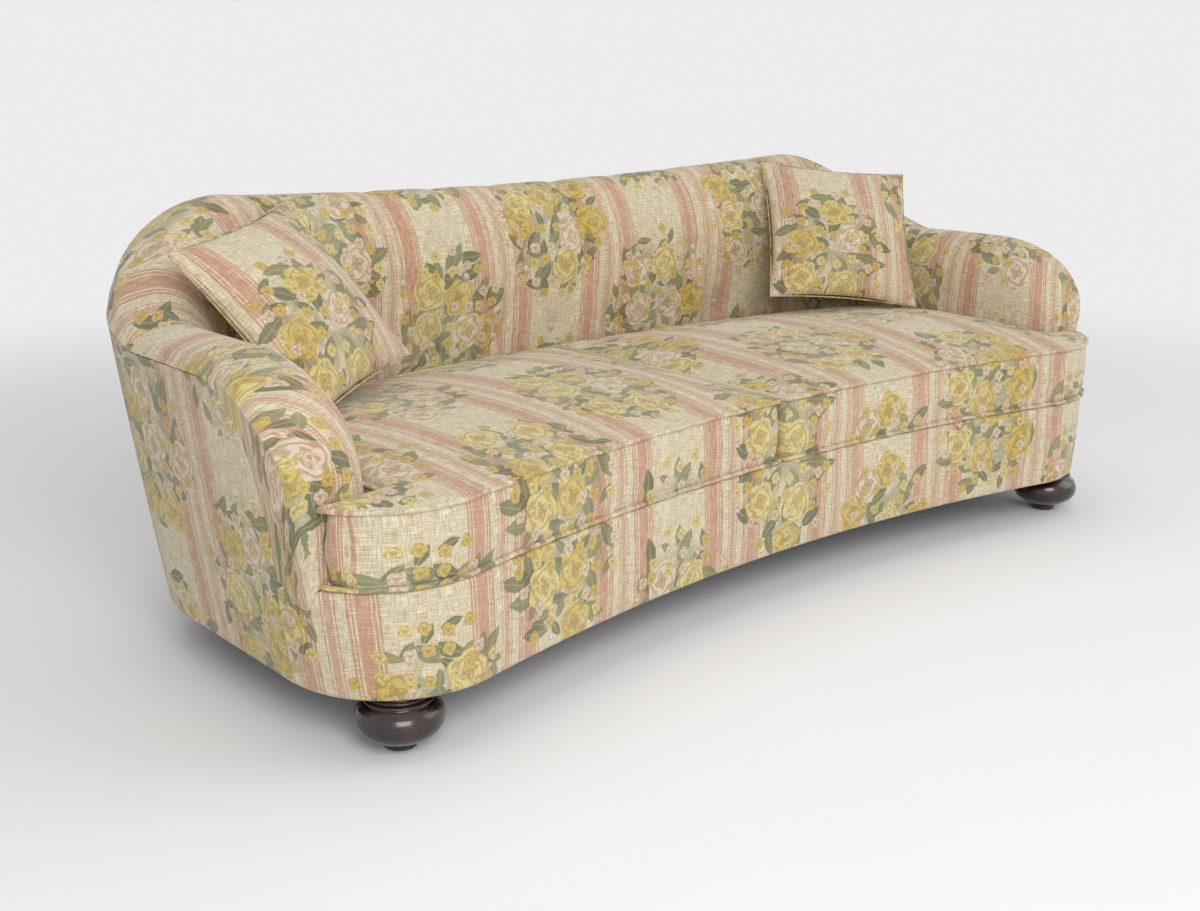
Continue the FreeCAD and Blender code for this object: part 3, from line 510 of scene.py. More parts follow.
REAR_X, REAR_Y = tangent_centre(HALF_WIDTH, BACK_RADIUS, REAR_CORNER, -1)
REAR_TURN = math.degrees(math.atan2(REAR_X, REAR_Y))
FRONT_X, FRONT_Y = tangent_centre(HALF_WIDTH, FRONT_RADIUS, FRONT_CORNER, 1)


def flare(z):
    return FLARE * (z - BODY_BOTTOM) / (FLARE_TOP - BODY_BOTTOM)


def wall_spot(turn, inset, z):
    """Return a point of the wall. Turns above 0 lie on the left, below 0 on the right."""
    side = -1.0 if turn >= 0 else 1.0
    a = math.radians(abs(turn))
    if abs(turn) <= REAR_TURN:
        x, y = (BACK_RADIUS - inset) * math.sin(a), (BACK_RADIUS - inset) * math.cos(a)
    else:
        x = REAR_X + (REAR_CORNER - inset) * math.sin(a)
        y = REAR_Y + (REAR_CORNER - inset) * math.cos(a)
    return side * x, y + AXIS_Y, z


def seam_height(y):
    if y < PANEL_FRONT_Y:
        return SEAM_NOSE
    if y < PANEL_FRONT_Y + SEAM_NOSE_LENGTH:
        share = (PANEL_FRONT_Y + SEAM_NOSE_LENGTH - y) / SEAM_NOSE_LENGTH
        return SEAM_NOSE + (ARM_SEAM - SEAM_NOSE) * math.sqrt(1 - share ** 2)
    climb = min(1.0, max(0.0, (y - REAR_Y) / SEAM_CLIMB))
    return ARM_SEAM + (BACK_SEAM - ARM_SEAM) * climb


def wall_seam(turn):
    seam = ARM_SEAM
    for attempt in range(4):
        seam = seam_height(wall_spot(turn, -flare(seam), 0)[1] - AXIS_Y)
    return seam


def pad_profile(section, crest, seam, step):
    """Return a pad's closed section as insets and heights, and its girth at each point."""
    height = crest - PAD_BASE
    curve = catmull([(n, PAD_BASE + share * height) for n, share in section], 7)
    seam = min(seam, curve[-1][1] - 0.002)
    lip = np.array([-flare(seam), seam + 0.0015])
    tail = [curve[-1] + (lip - curve[-1]) * k / 5 for k in range(1, 6)]
    under = [(-flare(seam) + min(step, TUCK), seam + CLEARANCE),
             (-flare(seam) + step + 0.0005, seam - CLEARANCE),
             (-flare(PAD_BASE) + step, PAD_BASE)]
    profile = np.vstack([curve, tail, under])
    girth = lengths_along(profile)
    return profile, girth


def wall_station(turn):
    """Return the crest height and the blend from back to arm at a turn of the wall."""
    turn = abs(turn)
    if turn <= REAR_TURN:
        x = BACK_RADIUS * math.sin(math.radians(turn))
        return BACK_CREST + CREST_RISE * (x / CREST_RISE_AT) ** 2, 0.0
    share = (turn - REAR_TURN) / (90 - REAR_TURN)
    fall = 1 - math.cos(math.radians(90 * share))
    blend = (1 - math.cos(math.pi * share)) / 2
    return SHOULDER + (ARM_CREST - SHOULDER) * (fall + blend) / 2, blend


def grid_normals(points):
    """Return the normals of a grid of points."""
    down = np.gradient(points, axis=0)
    along = np.gradient(points, axis=1)
    normals = np.cross(down, along)
    return normals / np.maximum(np.linalg.norm(normals, axis=2, keepdims=True), 1e-9)


def button_marks():
    """Return the turn and the row of each button on the inside back."""
    half_pitch = math.degrees(BUTTON_PITCH / 2 / BACK_FACE_RADIUS)
    marks = []
    for i in range(BUTTON_COLUMNS):
        for side in ((-1, 1) if i else (1,)):
            marks.append((side * half_pitch * i, UPPER_ROW if i % 2 else LOWER_ROW))
    return marks


def tuft_depths(u, v, row_girths, crest_girth):
    """Return how far the back's face is drawn in: dimples, pleats and the puffs between."""
    depth = np.zeros_like(v)
    spots = [(math.radians(turn) * BACK_FACE_RADIUS, row) for turn, row in button_marks()]
    reach = np.max([abs(s) for s, row in spots]) + BUTTON_PITCH / 2
    for s, row in spots:
        du = u[:, None] - s
        dv = v - row_girths[row]
        far2 = du ** 2 + dv ** 2
        depth += TUFT_DEPTH * 0.6 * np.exp(-far2 / 0.034 ** 2)
        depth += TUFT_DEPTH * 0.6 * np.exp(-far2 / 0.013 ** 2)
        if row == UPPER_ROW:
            ramp = np.clip(dv / 0.02, 0, 1) * np.clip((crest_girth + 0.05 - v) / 0.12, 0, 1)
            depth += 0.0105 * ramp * np.exp(-(du / (0.009 + 0.05 * np.clip(dv, 0, 1))) ** 2)
        for other, other_row in spots:
            if row == UPPER_ROW and other_row == LOWER_ROW and abs(abs(other - s)
                                                                   - BUTTON_PITCH / 2) < 0.01:
                end = np.array([other - s, row_girths[LOWER_ROW] - row_girths[UPPER_ROW]])
                t = np.clip((du * end[0] + dv * end[1]) / (end @ end), 0, 1)
                off2 = (du - t * end[0]) ** 2 + (dv - t * end[1]) ** 2
                depth += 0.0048 * np.sin(math.pi * t) * np.exp(-off2 / 0.016 ** 2)
        if row == LOWER_ROW:
            below = np.clip(-dv / 0.03, 0, 1)
            depth += 0.003 * below * np.exp(-(du / 0.016) ** 2)
    fade = np.clip((reach + 0.05 - np.abs(u)) / 0.05, 0, 1)[:, None]
    puff = 0.0035 * np.exp(-((v - (row_girths[1] + row_girths[2]) / 2) / 0.14) ** 2)
    return (depth - puff) * fade


def soft_ripples(points, normals, amount, seed):
    """Move a grid in and out by slow waves, as stuffed cloth lies."""
    draw = np.random.default_rng(seed)
    moved = np.zeros(points.shape[:2])
    for k in range(9):
        wave = draw.normal(size=3) * (9 + 5 * k)
        moved += np.sin(points @ wave + draw.uniform(0, 6)) / (1 + 0.5 * k)
    return points + normals * (amount * moved / 3)[..., None]


def make_back_pad():
    """Make the buttoned inside back, in one cloth round both corners."""
    corner = list(np.arange(REAR_TURN, 90.0, 1.7)) + [90.0]
    middle = list(np.linspace(0.0, REAR_TURN, 134))[:-1]
    turns = [-t for t in reversed(middle[1:] + corner)] + middle + corner
    points, girths, lengths = [], [], []
    for turn in turns:
        crest, share = wall_station(turn)
        section = [(b[0] + (a[0] - b[0]) * share, b[1] + (a[1] - b[1]) * share)
                   for b, a in zip(BACK_SECTION, ARM_SECTION)]
        profile, girth = pad_profile(section, crest, wall_seam(turn), 0.0135)
        points.append([wall_spot(turn, n, z) for n, z in profile])
        girths.append(girth)
        past = max(0.0, abs(turn) - REAR_TURN)
        length = math.radians(abs(turn) - past) * BACK_FACE_RADIUS + math.radians(past) * 0.25
        lengths.append(math.copysign(length, turn))
    points, v, u = np.array(points), np.array(girths), np.array(lengths)
    normals = grid_normals(points)
    middle_row = len(turns) // 2
    if normals[middle_row, 10, 1] > 0:
        normals = -normals
    rows = {LOWER_ROW: v[middle_row, 7 * LOWER_ROW], UPPER_ROW: v[middle_row, 7 * UPPER_ROW]}
    depth = tuft_depths(u, v, rows, v[middle_row, 42])
    keep = np.ones(points.shape[1])
    keep[-4:] = 0.0
    spots = points - normals * (depth * keep)[..., None]
    spots = np.where(keep[None, :, None] > 0, soft_ripples(spots, normals, 0.0016, 4), spots)
    count = points.shape[1]
    uv = np.stack([-np.repeat(u[:, None], count, 1), v], -1)
    piece = made_object("inside_back", spots, closed_faces(len(turns), count), uv, linen)
    places = []
    for turn, row in button_marks():
        i = int(np.argmin(np.abs(np.array(turns) - turn)))
        places.append((spots[i, 7 * row], normals[i, 7 * row]))
    return piece, places


def arm_rows():
    """Return the plan y of the arm's sections, close together at the round front."""
    nose = [NOSE_Y + NOSE_LENGTH * (1 - math.cos(a)) + 0.0005
            for a in np.linspace(0.0, math.pi / 2, 34)]
    return nose + list(np.linspace(nose[-1], REAR_Y, 26))[1:]


def make_arm_covers():
    """Make both arm pads, each round over the top and round at the front."""
    rows = arm_rows()
    points, maps = [], []
    for y in rows:
        back_off = min(1.0, max(0.0, (NOSE_Y + NOSE_LENGTH - y) / (NOSE_LENGTH + 0.001)))
        crest = NOSE_START + (ARM_CREST - NOSE_START) * math.sqrt(1 - back_off ** 2)
        plan = min(1.0, max(0.0, (NOSE_Y + NOSE_PLAN - y) / (NOSE_PLAN + 0.001)))
        wide = 1 - NOSE_NARROWING * (1 - math.sqrt(1 - plan ** 2))
        middle = (ARM_SECTION[0][0] + ARM_SECTION[-1][0]) / 2
        step = 0.0135 if y >= PANEL_FRONT_Y else 0.0015
        profile, girth = pad_profile(ARM_SECTION, crest, seam_height(y), step)
        profile[:, 0] = middle + (profile[:, 0] - middle) * wide
        points.append([(-HALF_WIDTH + n, y + AXIS_Y, z) for n, z in profile])
        near = min(1.0, max(0.0, (NOSE_Y + 0.30 - y) / 0.30)) ** 1.3
        u = (REAR_Y - y) + near * (ARM_SECTION[0][0] - profile[:, 0])
        v = girth * (1 - near) + (profile[:, 1] - PAD_BASE) * near
        maps.append(np.stack([u + 0.29, v], -1))
    points, maps = np.array(points), np.array(maps)
    normals = grid_normals(points)
    if normals[-5, 10, 0] < 0:
        normals = -normals
    keep = np.ones(points.shape[1])
    keep[-4:] = 0.0
    points = np.where(keep[None, :, None] > 0, soft_ripples(points, normals, 0.0015, 7), points)
    front = points[0]
    centre = front.mean(0)
    cap, cap_map = [], []
    for share, forward in ((0.5, 0.0035), (0.82, 0.0032), (0.95, 0.002)):
        ring = centre + (front - centre) * share
        ring[:, 1] = front[:, 1] - forward
        cap.append(ring)
        cap_map.append(np.stack([maps[0][:, 0] + (front[:, 0] - ring[:, 0]),
                                 ring[:, 2] - PAD_BASE], -1))
    points = np.concatenate([np.array(cap), points])
    maps = np.concatenate([np.array(cap_map), maps])
    count = points.shape[1]
    faces = closed_faces(len(points), count)
    twin = points * np.array([-1, 1, 1])
    size = points.shape[0] * count
    both = np.concatenate([points.reshape(-1, 3), twin.reshape(-1, 3)])
    faces = faces + [tuple(size + k for k in face) for face in faces]
    uv = np.concatenate([maps.reshape(-1, 2), maps.reshape(-1, 2) * np.array([-1, 1])])
    return made_object("arm_covers", both, faces, uv, linen)


def outer_path():
    """Return the left outer line from the panel's front edge to the middle of the back."""
    path = [("side", y) for y in np.linspace(PANEL_FRONT_Y, REAR_Y, 40)]
    path += [("wall", t) for t in np.linspace(90.0, REAR_TURN, 42)[1:]]
    path += [("wall", t) for t in np.linspace(REAR_TURN, 0.0, 60)[1:]]
    return path


def path_spot(kind, value, inset, z):
    if kind == "side":
        return -HALF_WIDTH + inset, value + AXIS_Y, z
    return wall_spot(value, inset, z)


def panel_profile(seam):
    """Return the section of an outside panel: rolled top edge, face and turned-under foot."""
    seam = seam - CLEARANCE
    up = np.linspace(BODY_BOTTOM + 0.006, seam - 0.003, 22)
    face = [(-flare(z) - 0.0025 * math.sin(math.pi * (z - BODY_BOTTOM) / (seam - BODY_BOTTOM)), z)
            for z in up]
    top = [(-flare(seam) + 0.0012, seam - 0.0008), (-flare(seam) + TUCK, seam)]
    inner = [(-flare(seam) + PANEL_THICKNESS, seam), (PANEL_THICKNESS, BODY_BOTTOM)]
    foot = [(0.004, BODY_BOTTOM), (0.001, BODY_BOTTOM + 0.002)]
    return np.array(face + top + inner + foot)


def mirrored_cover(name, left, track, base):
    """Make a closed cover from its left half's sections, with its map in metres.

    The map's first measure runs along one point of the sections, the track."""
    right = left[::-1][1:] * np.array([-1, 1, 1])
    points = np.concatenate([left, right])
    u = lengths_along(points[:, track])
    u = u - u[len(left) - 1]
    count = points.shape[1]
    uv = np.stack([np.repeat(u[:, None], count, 1), points[..., 2] - base], -1)
    return made_object(name, points, closed_faces(len(points), count), uv, linen)


def make_outside_covers():
    """Make the outside cover of both sides and the back, with its map in metres."""
    left = []
    for kind, value in outer_path():
        seam = seam_height(value) if kind == "side" else wall_seam(value)
        profile = panel_profile(seam)
        left.append([path_spot(kind, value, n, z) for n, z in profile])
    left = np.array(left)
    for k, inward in enumerate((0.0055, 0.0022, 0.0005)):
        left[k, :24, 0] += inward
    return mirrored_cover("outside_cover", left, 0, 0.0)


def front_path(inset):
    """Return the plan line of the front border from its left end to the middle."""
    radius, corner = FRONT_RADIUS + inset, FRONT_CORNER - inset
    path = []
    end = math.acos((FRONT_Y - PANEL_FRONT_Y) / corner)
    for a in np.linspace(end, -math.atan2(FRONT_X, FRONT_Y), 44):
        path.append((-FRONT_X - corner * math.sin(a), FRONT_Y - corner * math.cos(a),
                     -math.sin(a), -math.cos(a)))
    for a in np.linspace(math.atan2(FRONT_X, FRONT_Y), 0.0, 70)[1:]:
        path.append((-radius * math.sin(a), radius * math.cos(a), math.sin(a) * 0, 0.0))
    return path


def make_front_border():
    """Make the padded border under the seat, round both front corners."""
    up = np.linspace(BODY_BOTTOM + 0.009, SEAT_BASE - 0.004, 16)
    left = []
    for x, y, out_x, out_y in front_path(0.0):
        ring = []
        for z in up:
            swell = 0.003 * math.sin(math.pi * (z - BODY_BOTTOM) / (SEAT_BASE - BODY_BOTTOM))
            ring.append((0.0, swell, z))
        ring += [(0.003, 0.0, SEAT_BASE - 0.001), (0.009, 0.0, SEAT_BASE),
                 (BORDER_THICKNESS, 0.0, SEAT_BASE), (BORDER_THICKNESS, 0.0, BODY_BOTTOM),
                 (0.009, 0.0, BODY_BOTTOM), (0.0035, 0.0, BODY_BOTTOM + 0.0015),
                 (0.001, 0.0, BODY_BOTTOM + 0.0045)]
        if not (out_x or out_y):
            far = math.hypot(x, y)
            out_x, out_y = -x / far, -y / far
        row = []
        for inset, swell, z in ring:
            # The ends lean out with the sides and the front stands upright
            side_lean = flare(z) * min(1.0, max(0.0, (abs(x) - (FRONT_X - 0.05)) / 0.25))
            px = x + out_x * (swell - inset) + math.copysign(side_lean, x)
            row.append((px, y + out_y * (swell - inset) + AXIS_Y, z))
        left.append(row)
    return mirrored_cover("front_border_cover", np.array(left), BORDER_TRACK, SEAT_BASE)


# Seat cushions

def seat_outline(inset, spacing=0.008):
    """Return the left seat cushion's outline in the plan, with its corners rounded."""
    radius, corner = FRONT_RADIUS + inset, FRONT_CORNER - inset
    half = HALF_WIDTH + flare(SEAT_BASE) - inset
    fx, fy = tangent_centre(half, radius, corner, 1)
    gap = SEAT_GAP + inset
    nose = NOSE_Y - SEAT_GAP - inset
    side = SEAT_SIDE_X - inset
    rear = SEAT_REAR_RADIUS - inset
    rx, ry = tangent_centre(side, rear, SEAT_REAR_CORNER, -1)
    line = [(-radius * math.sin(a), radius * math.cos(a))
            for a in np.linspace(math.asin(gap / radius), math.atan2(fx, fy), 60)]
    line += [(-fx - corner * math.sin(a), fy - corner * math.cos(a))
             for a in np.linspace(-math.atan2(fx, fy), math.acos((fy - nose) / corner), 30)]
    line += [(-side, nose), (-side, ry)]
    line += [(-rx - SEAT_REAR_CORNER * math.sin(a), ry + SEAT_REAR_CORNER * math.cos(a))
             for a in np.linspace(math.pi / 2, math.atan2(rx, ry), 30)[1:]]
    line += [(-rear * math.sin(a), rear * math.cos(a))
             for a in np.linspace(math.atan2(rx, ry), math.asin(gap / rear), 50)[1:]]
    line.append(line[0])
    line = np.array(line)
    reach = lengths_along(line)
    count = int(reach[-1] / spacing)
    marks = np.linspace(0, reach[-1], count, endpoint=False)
    points = np.stack([np.interp(marks, reach, line[:, k]) for k in (0, 1)], 1)
    for attempt in range(6):
        points = (np.roll(points, 1, 0) + 2 * points + np.roll(points, -1, 0)) / 4
    return points


def crown_height(x, y):
    """Return how far the seat's top stands above its piping."""
    far = np.hypot(x, y)
    front = FRONT_RADIUS + 0.006
    part = np.clip((far - front) / (SEAT_REAR_RADIUS - 0.006 - front), 0, 1)
    across = np.interp(-x, (0.005, 0.03, 0.10, 0.22, 0.40, 0.74, 0.86, 0.93, 1.0, 1.06, 1.09),
                       (0.05, 0.32, 0.66, 0.9, 1.0, 1.0, 0.86, 0.66, 0.42, 0.2, 0.05))
    return CROWN * across * np.power(np.clip(np.sin(math.pi * part), 0, 1), 0.62)


def seat_block():
    """Return the left cushion's closed block, before it is filled."""
    low, high = SEAT_BASE + SEAT_GAP, EDGE_Z
    levels = ((0.0095, low), (0.0055, low + 0.02), (0.003, (low + high) / 2),
              (0.0055, high - 0.02), (0.0095, high))
    rings = [np.column_stack([seat_outline(n, 0.012), np.zeros(len(seat_outline(n, 0.012)))])
             for n, z in levels]
    work = bmesh.new()
    count = len(rings[2])
    rows = []
    for (n, z), ring in zip(levels, rings):
        marks = np.linspace(0, len(ring), count, endpoint=False)
        closed = np.vstack([ring, ring[:1]])
        spots = [np.interp(marks, range(len(closed)), closed[:, k]) for k in (0, 1)]
        rows.append([work.verts.new((x, y + AXIS_Y, z)) for x, y in zip(*spots)])
    for one, two in zip(rows, rows[1:]):
        for j in range(count):
            work.faces.new((one[j - 1], one[j], two[j], two[j - 1]))
    work.faces.new(rows[0])
    work.faces.new(rows[-1])
    bmesh.ops.triangulate(work, faces=[f for f in work.faces if len(f.verts) > 4])
    bmesh.ops.recalc_face_normals(work, faces=work.faces[:])
    mesh = bpy.data.meshes.new("seat_block")
    work.to_mesh(mesh)
    work.free()
    return mesh


def applied(piece):
    """Turn a piece's modifiers into its mesh."""
    graph = bpy.context.evaluated_depsgraph_get()
    mesh = bpy.data.meshes.new_from_object(piece.evaluated_get(graph))
    piece.modifiers.clear()
    old = piece.data
    piece.data = mesh
    bpy.data.meshes.remove(old)


def coordinates(mesh):
    found = np.zeros(len(mesh.vertices) * 3)
    mesh.vertices.foreach_get("co", found)
    return found.reshape(-1, 3)


def fill_cushion(piece, held, pressure, cap):
    """Blow the cushion's cloth out from inside, holding its seams, and keep the result."""
    before = coordinates(piece.data)
    group = piece.vertex_groups.new(name="seams")
    for i in np.nonzero(held > 0.02)[0]:
        group.add([int(i)], float(min(1.0, held[i])), "REPLACE")
    cloth = piece.modifiers.new("filling", "CLOTH")
    settings = cloth.settings
    settings.quality = 4
    settings.mass = 0.3
    settings.use_pressure = True
    settings.uniform_pressure_force = pressure
    settings.tension_stiffness = 12
    settings.compression_stiffness = 12
    settings.shear_stiffness = 4
    settings.bending_stiffness = 0.4
    settings.vertex_group_mass = "seams"
    settings.effector_weights.gravity = 0.0
    cloth.point_cache.frame_start = 1
    cloth.point_cache.frame_end = 22
    for step in range(1, 21):
        bpy.context.scene.frame_set(step)
    graph = bpy.context.evaluated_depsgraph_get()
    mesh = piece.evaluated_get(graph).to_mesh()
    after = coordinates(mesh)
    piece.evaluated_get(graph).to_mesh_clear()
    piece.modifiers.clear()
    piece.vertex_groups.clear()
    bpy.context.scene.frame_set(1)
    move = after - before
    far = np.linalg.norm(move, axis=1, keepdims=True)
    move *= np.minimum(1.0, cap / np.maximum(far, 1e-9))
    moved = before + move
    piece.data.vertices.foreach_set("co", moved.ravel())
    piece.data.update()
    return moved


def make_seat_cushion(side):
    """Make one seat cushion: a remeshed block, crowned and filled, with its map in metres."""
    mesh = seat_block()
    piece = bpy.data.objects.new("seat_cushion_cover_" + side, mesh)
    bpy.context.scene.collection.objects.link(piece)
    remesh = piece.modifiers.new("even", "REMESH")
    remesh.mode = "VOXEL"
    remesh.voxel_size = 0.009
    applied(piece)
    spots = coordinates(piece.data)
    middle = (SEAT_BASE + EDGE_Z) / 2
    top = np.clip((spots[:, 2] - middle) / (EDGE_Z - middle), 0, 1)
    plan_y = spots[:, 1] - AXIS_Y
    spots[:, 2] += crown_height(spots[:, 0], plan_y) * top * 0.74
    piece.data.vertices.foreach_set("co", spots.ravel())
    outline = seat_outline(0.0045, 0.006)
    near = np.full(len(spots), 9.0)
    for x, y in outline:
        near = np.minimum(near, np.hypot(spots[:, 0] - x, plan_y - y))
    edge = np.clip(1.6 - near / 0.012, 0, 1) * (np.abs(spots[:, 2] - EDGE_Z) < 0.012)
    foot = spots[:, 2] < SEAT_BASE + 0.014
    held = np.maximum(edge, foot.astype(float))
    moved = fill_cushion(piece, held, 4.0, 0.024)
    # The filled cloth stays clear of the other cushion, the arm and the back
    moved[:, 0] = np.minimum(moved[:, 0], -0.001)
    between = moved[:, 1] - AXIS_Y > NOSE_Y - 0.004
    moved[:, 0] = np.where(between, np.maximum(moved[:, 0], -SEAT_SIDE_X), moved[:, 0])
    low = SEAT_BASE + SEAT_GAP
    moved[:, 2] = np.clip(moved[:, 2], low, EDGE_Z + CROWN + 0.004)
    far = np.hypot(moved[:, 0], moved[:, 1] - AXIS_Y)
    pull = np.minimum(1.0, (SEAT_REAR_RADIUS - 0.001) / far)
    moved[:, 0] *= pull
    moved[:, 1] = (moved[:, 1] - AXIS_Y) * pull + AXIS_Y
    piece.data.vertices.foreach_set("co", moved.ravel())
    piece.data.update()
    if side == "right":
        piece.data.transform(Matrix.Diagonal((-1, 1, 1, 1)))
        piece.data.flip_normals()
    seat_map(piece.data)
    piece.data.materials.clear()
    piece.data.materials.append(linen)
    piece.data.shade_smooth()
    smoother = piece.modifiers.new("finer", "SUBSURF")
    smoother.levels = 1
    smoother.render_levels = 1
    return piece


def seat_map(mesh):
    """Map a seat cushion's cloth: stripes run front to back, and down its borders."""
    spots = coordinates(mesh)
    y = spots[:, 1] - AXIS_Y
    far = np.hypot(spots[:, 0], y)
    around = FRONT_RADIUS * np.arctan2(spots[:, 0], y)
    down = spots[:, 2] - EDGE_Z
    top = np.stack([around, far - FRONT_RADIUS], 1)
    border = np.stack([around, down], 1)
    end = np.stack([y - FRONT_RADIUS + np.abs(spots[:, 0]), down], 1)
    layer = mesh.uv_layers.new(name="cloth")
    uv = np.zeros((len(mesh.loops), 2))
    corners = np.zeros(len(mesh.loops), int)
    mesh.loops.foreach_get("vertex_index", corners)
    for face in mesh.polygons:
        n = face.normal
        if abs(n.z) > 0.62:
            source = top
        elif abs(n.x) > 0.75:
            source = end
        else:
            source = border
        for k in face.loop_indices:
            uv[k] = source[corners[k]]
    layer.data.foreach_set("uv", uv.ravel())


def corded(line, radius, sides=10):
    """Return the points and faces of a round cord along a closed line."""
    line = np.asarray(line)
    ahead = np.roll(line, -1, 0) - np.roll(line, 1, 0)
    ahead /= np.linalg.norm(ahead, axis=1, keepdims=True)
    up = np.array([0.0, 0.0, 1.0])
    out = np.cross(ahead, up)
    out /= np.linalg.norm(out, axis=1, keepdims=True)
    rise = np.cross(out, ahead)
    rings = []
    for k in range(sides):
        a = 2 * math.pi * k / sides
        rings.append(line + radius * (math.cos(a) * out + math.sin(a) * rise))
    points = np.stack(rings, 1)
    faces = []
    count = len(line)
    for i in range(count):
        for j in range(sides):
            a, b = i * sides + j, i * sides + (j + 1) % sides
            c, d = ((i + 1) % count) * sides + (j + 1) % sides, ((i + 1) % count) * sides + j
            faces.append((a, b, c, d))
    return points, faces


def make_piping(side):
    """Make the covered cords along the top and bottom edges of a seat cushion."""
    sign = -1.0 if side == "left" else 1.0
    all_points, all_faces, all_maps = [], [], []
    start = 0
    for z in (SEAT_BASE + SEAT_GAP + PIPING_RADIUS + 0.0003, EDGE_Z - 0.0012):
        plan = seat_outline(0.0055, 0.005)
        wave = 0.0007 * np.sin(np.arange(len(plan)) * 0.41) * np.sin(np.arange(len(plan)) * 0.067)
        line = np.column_stack([-sign * plan[:, 0], plan[:, 1] + AXIS_Y, z + wave])
        points, faces = corded(line, PIPING_RADIUS)
        around = FRONT_RADIUS * np.arctan2(line[:, 0], line[:, 1] - AXIS_Y)
        turn = np.arange(points.shape[1]) * 2 * math.pi * PIPING_RADIUS / points.shape[1]
        maps = np.stack(np.broadcast_arrays(around[:, None], turn[None, :] + z - EDGE_Z), -1)
        all_points.append(points.reshape(-1, 3))
        all_maps.append(maps.reshape(-1, 2))
        all_faces += [tuple(start + k for k in face) for face in faces]
        start += points.shape[0] * points.shape[1]
    return made_object("seat_piping_cord_" + side, np.concatenate(all_points), all_faces,
                       np.concatenate(all_maps), linen)


# Scatter cushions

def scatter_matrix(side):
    place, turns = SCATTERS[side]
    about_y, about_x, about_z = [math.radians(t) for t in turns]
    turn = (Matrix.Rotation(about_z, 4, "Z") @ Matrix.Rotation(about_x, 4, "X")
            @ Matrix.Rotation(about_y, 4, "Y"))
    return Matrix.Translation(Vector((place[0], place[1] + AXIS_Y, place[2]))) @ turn


def make_scatter_cushion(side):
    """Make a knife-edge cushion of two cloths, filled and with creases from its corners."""
    count = 61
    marks = np.sin(np.linspace(-math.pi / 2, math.pi / 2, count))
    marks = 0.55 * marks + 0.45 * np.linspace(-1, 1, count)
    draw = np.random.default_rng(11 if side == "left" else 12)
    sheets = []
    for depth in (-0.070, 0.032):
        sheet = np.zeros((count, count, 3))
        for i, a in enumerate(marks):
            for j, b in enumerate(marks):
                full = ((1 - a * a) * (1 - b * b)) ** 0.82
                drawn_a = 1 - 0.055 * (1 - b ** 2)
                drawn_b = 1 - 0.055 * (1 - a ** 2)
                sheet[i, j] = (SCATTER_HALF * 0.985 * a * drawn_a, depth * full,
                               SCATTER_HALF * 0.985 * b * drawn_b)
        sheets.append(sheet)
    front = {}
    points, faces, maps = [], [], []

    def vertex(sheet, i, j):
        rim = i in (0, count - 1) or j in (0, count - 1)
        key = (0 if rim else sheet, i, j)
        if key not in front:
            front[key] = len(points)
            spot = sheets[sheet][i, j] + draw.normal(size=3) * 0.0004
            points.append(spot)
            maps.append((marks[i] * SCATTER_HALF, marks[j] * SCATTER_HALF))
        return front[key]

    for sheet in (0, 1):
        for i in range(count - 1):
            for j in range(count - 1):
                faces.append((vertex(sheet, i, j), vertex(sheet, i + 1, j),
                              vertex(sheet, i + 1, j + 1), vertex(sheet, i, j + 1)))
    piece = made_object("scatter_cushion_cover_" + side, points, faces, maps, scatter_linen)
    spots = coordinates(piece.data)
    corner = np.minimum(np.abs(spots[:, 0]), np.abs(spots[:, 2])) / SCATTER_HALF
    held = np.where(corner > 0.93, 1.0, 0.0)
    fill_cushion(piece, held, 5.0, 0.016)
    spots = coordinates(piece.data)
    spots[:, 1] = np.clip(spots[:, 1], -0.073, 0.036)
    piece.data.vertices.foreach_set("co", spots.ravel())
    piece.data.transform(scatter_matrix(side))
    piece.data.update()
    smoother = piece.modifiers.new("finer", "SUBSURF")
    smoother.levels = 1
    smoother.render_levels = 1
    return piece


def make_scatter_seam(side):
    """Make the fine rolled seam round a scatter cushion's edge."""
    marks = np.linspace(-1, 1, 60)
    half = SCATTER_HALF * 0.985
    edge = [(half * a, 0.0, -half * (1 - 0.055 * (1 - a * a))) for a in marks]
    edge += [(half * (1 - 0.055 * (1 - a * a)), 0.0, half * a) for a in marks[1:]]
    edge += [(-half * a, 0.0, half * (1 - 0.055 * (1 - a * a))) for a in marks[1:]]
    edge += [(-half * (1 - 0.055 * (1 - a * a)), 0.0, -half * a) for a in marks[1:-1]]
    place = scatter_matrix(side)
    line = np.array([place @ Vector(p) for p in edge])
    points, faces = corded(line, 0.0016, 6)
    maps = np.zeros((points.shape[0] * points.shape[1], 2))
    maps[:, 0] = np.repeat(np.arange(points.shape[0]) * 0.006, points.shape[1])
    return made_object("scatter_seam_" + side, points, faces, maps, scatter_linen)


# Pieces that repeat

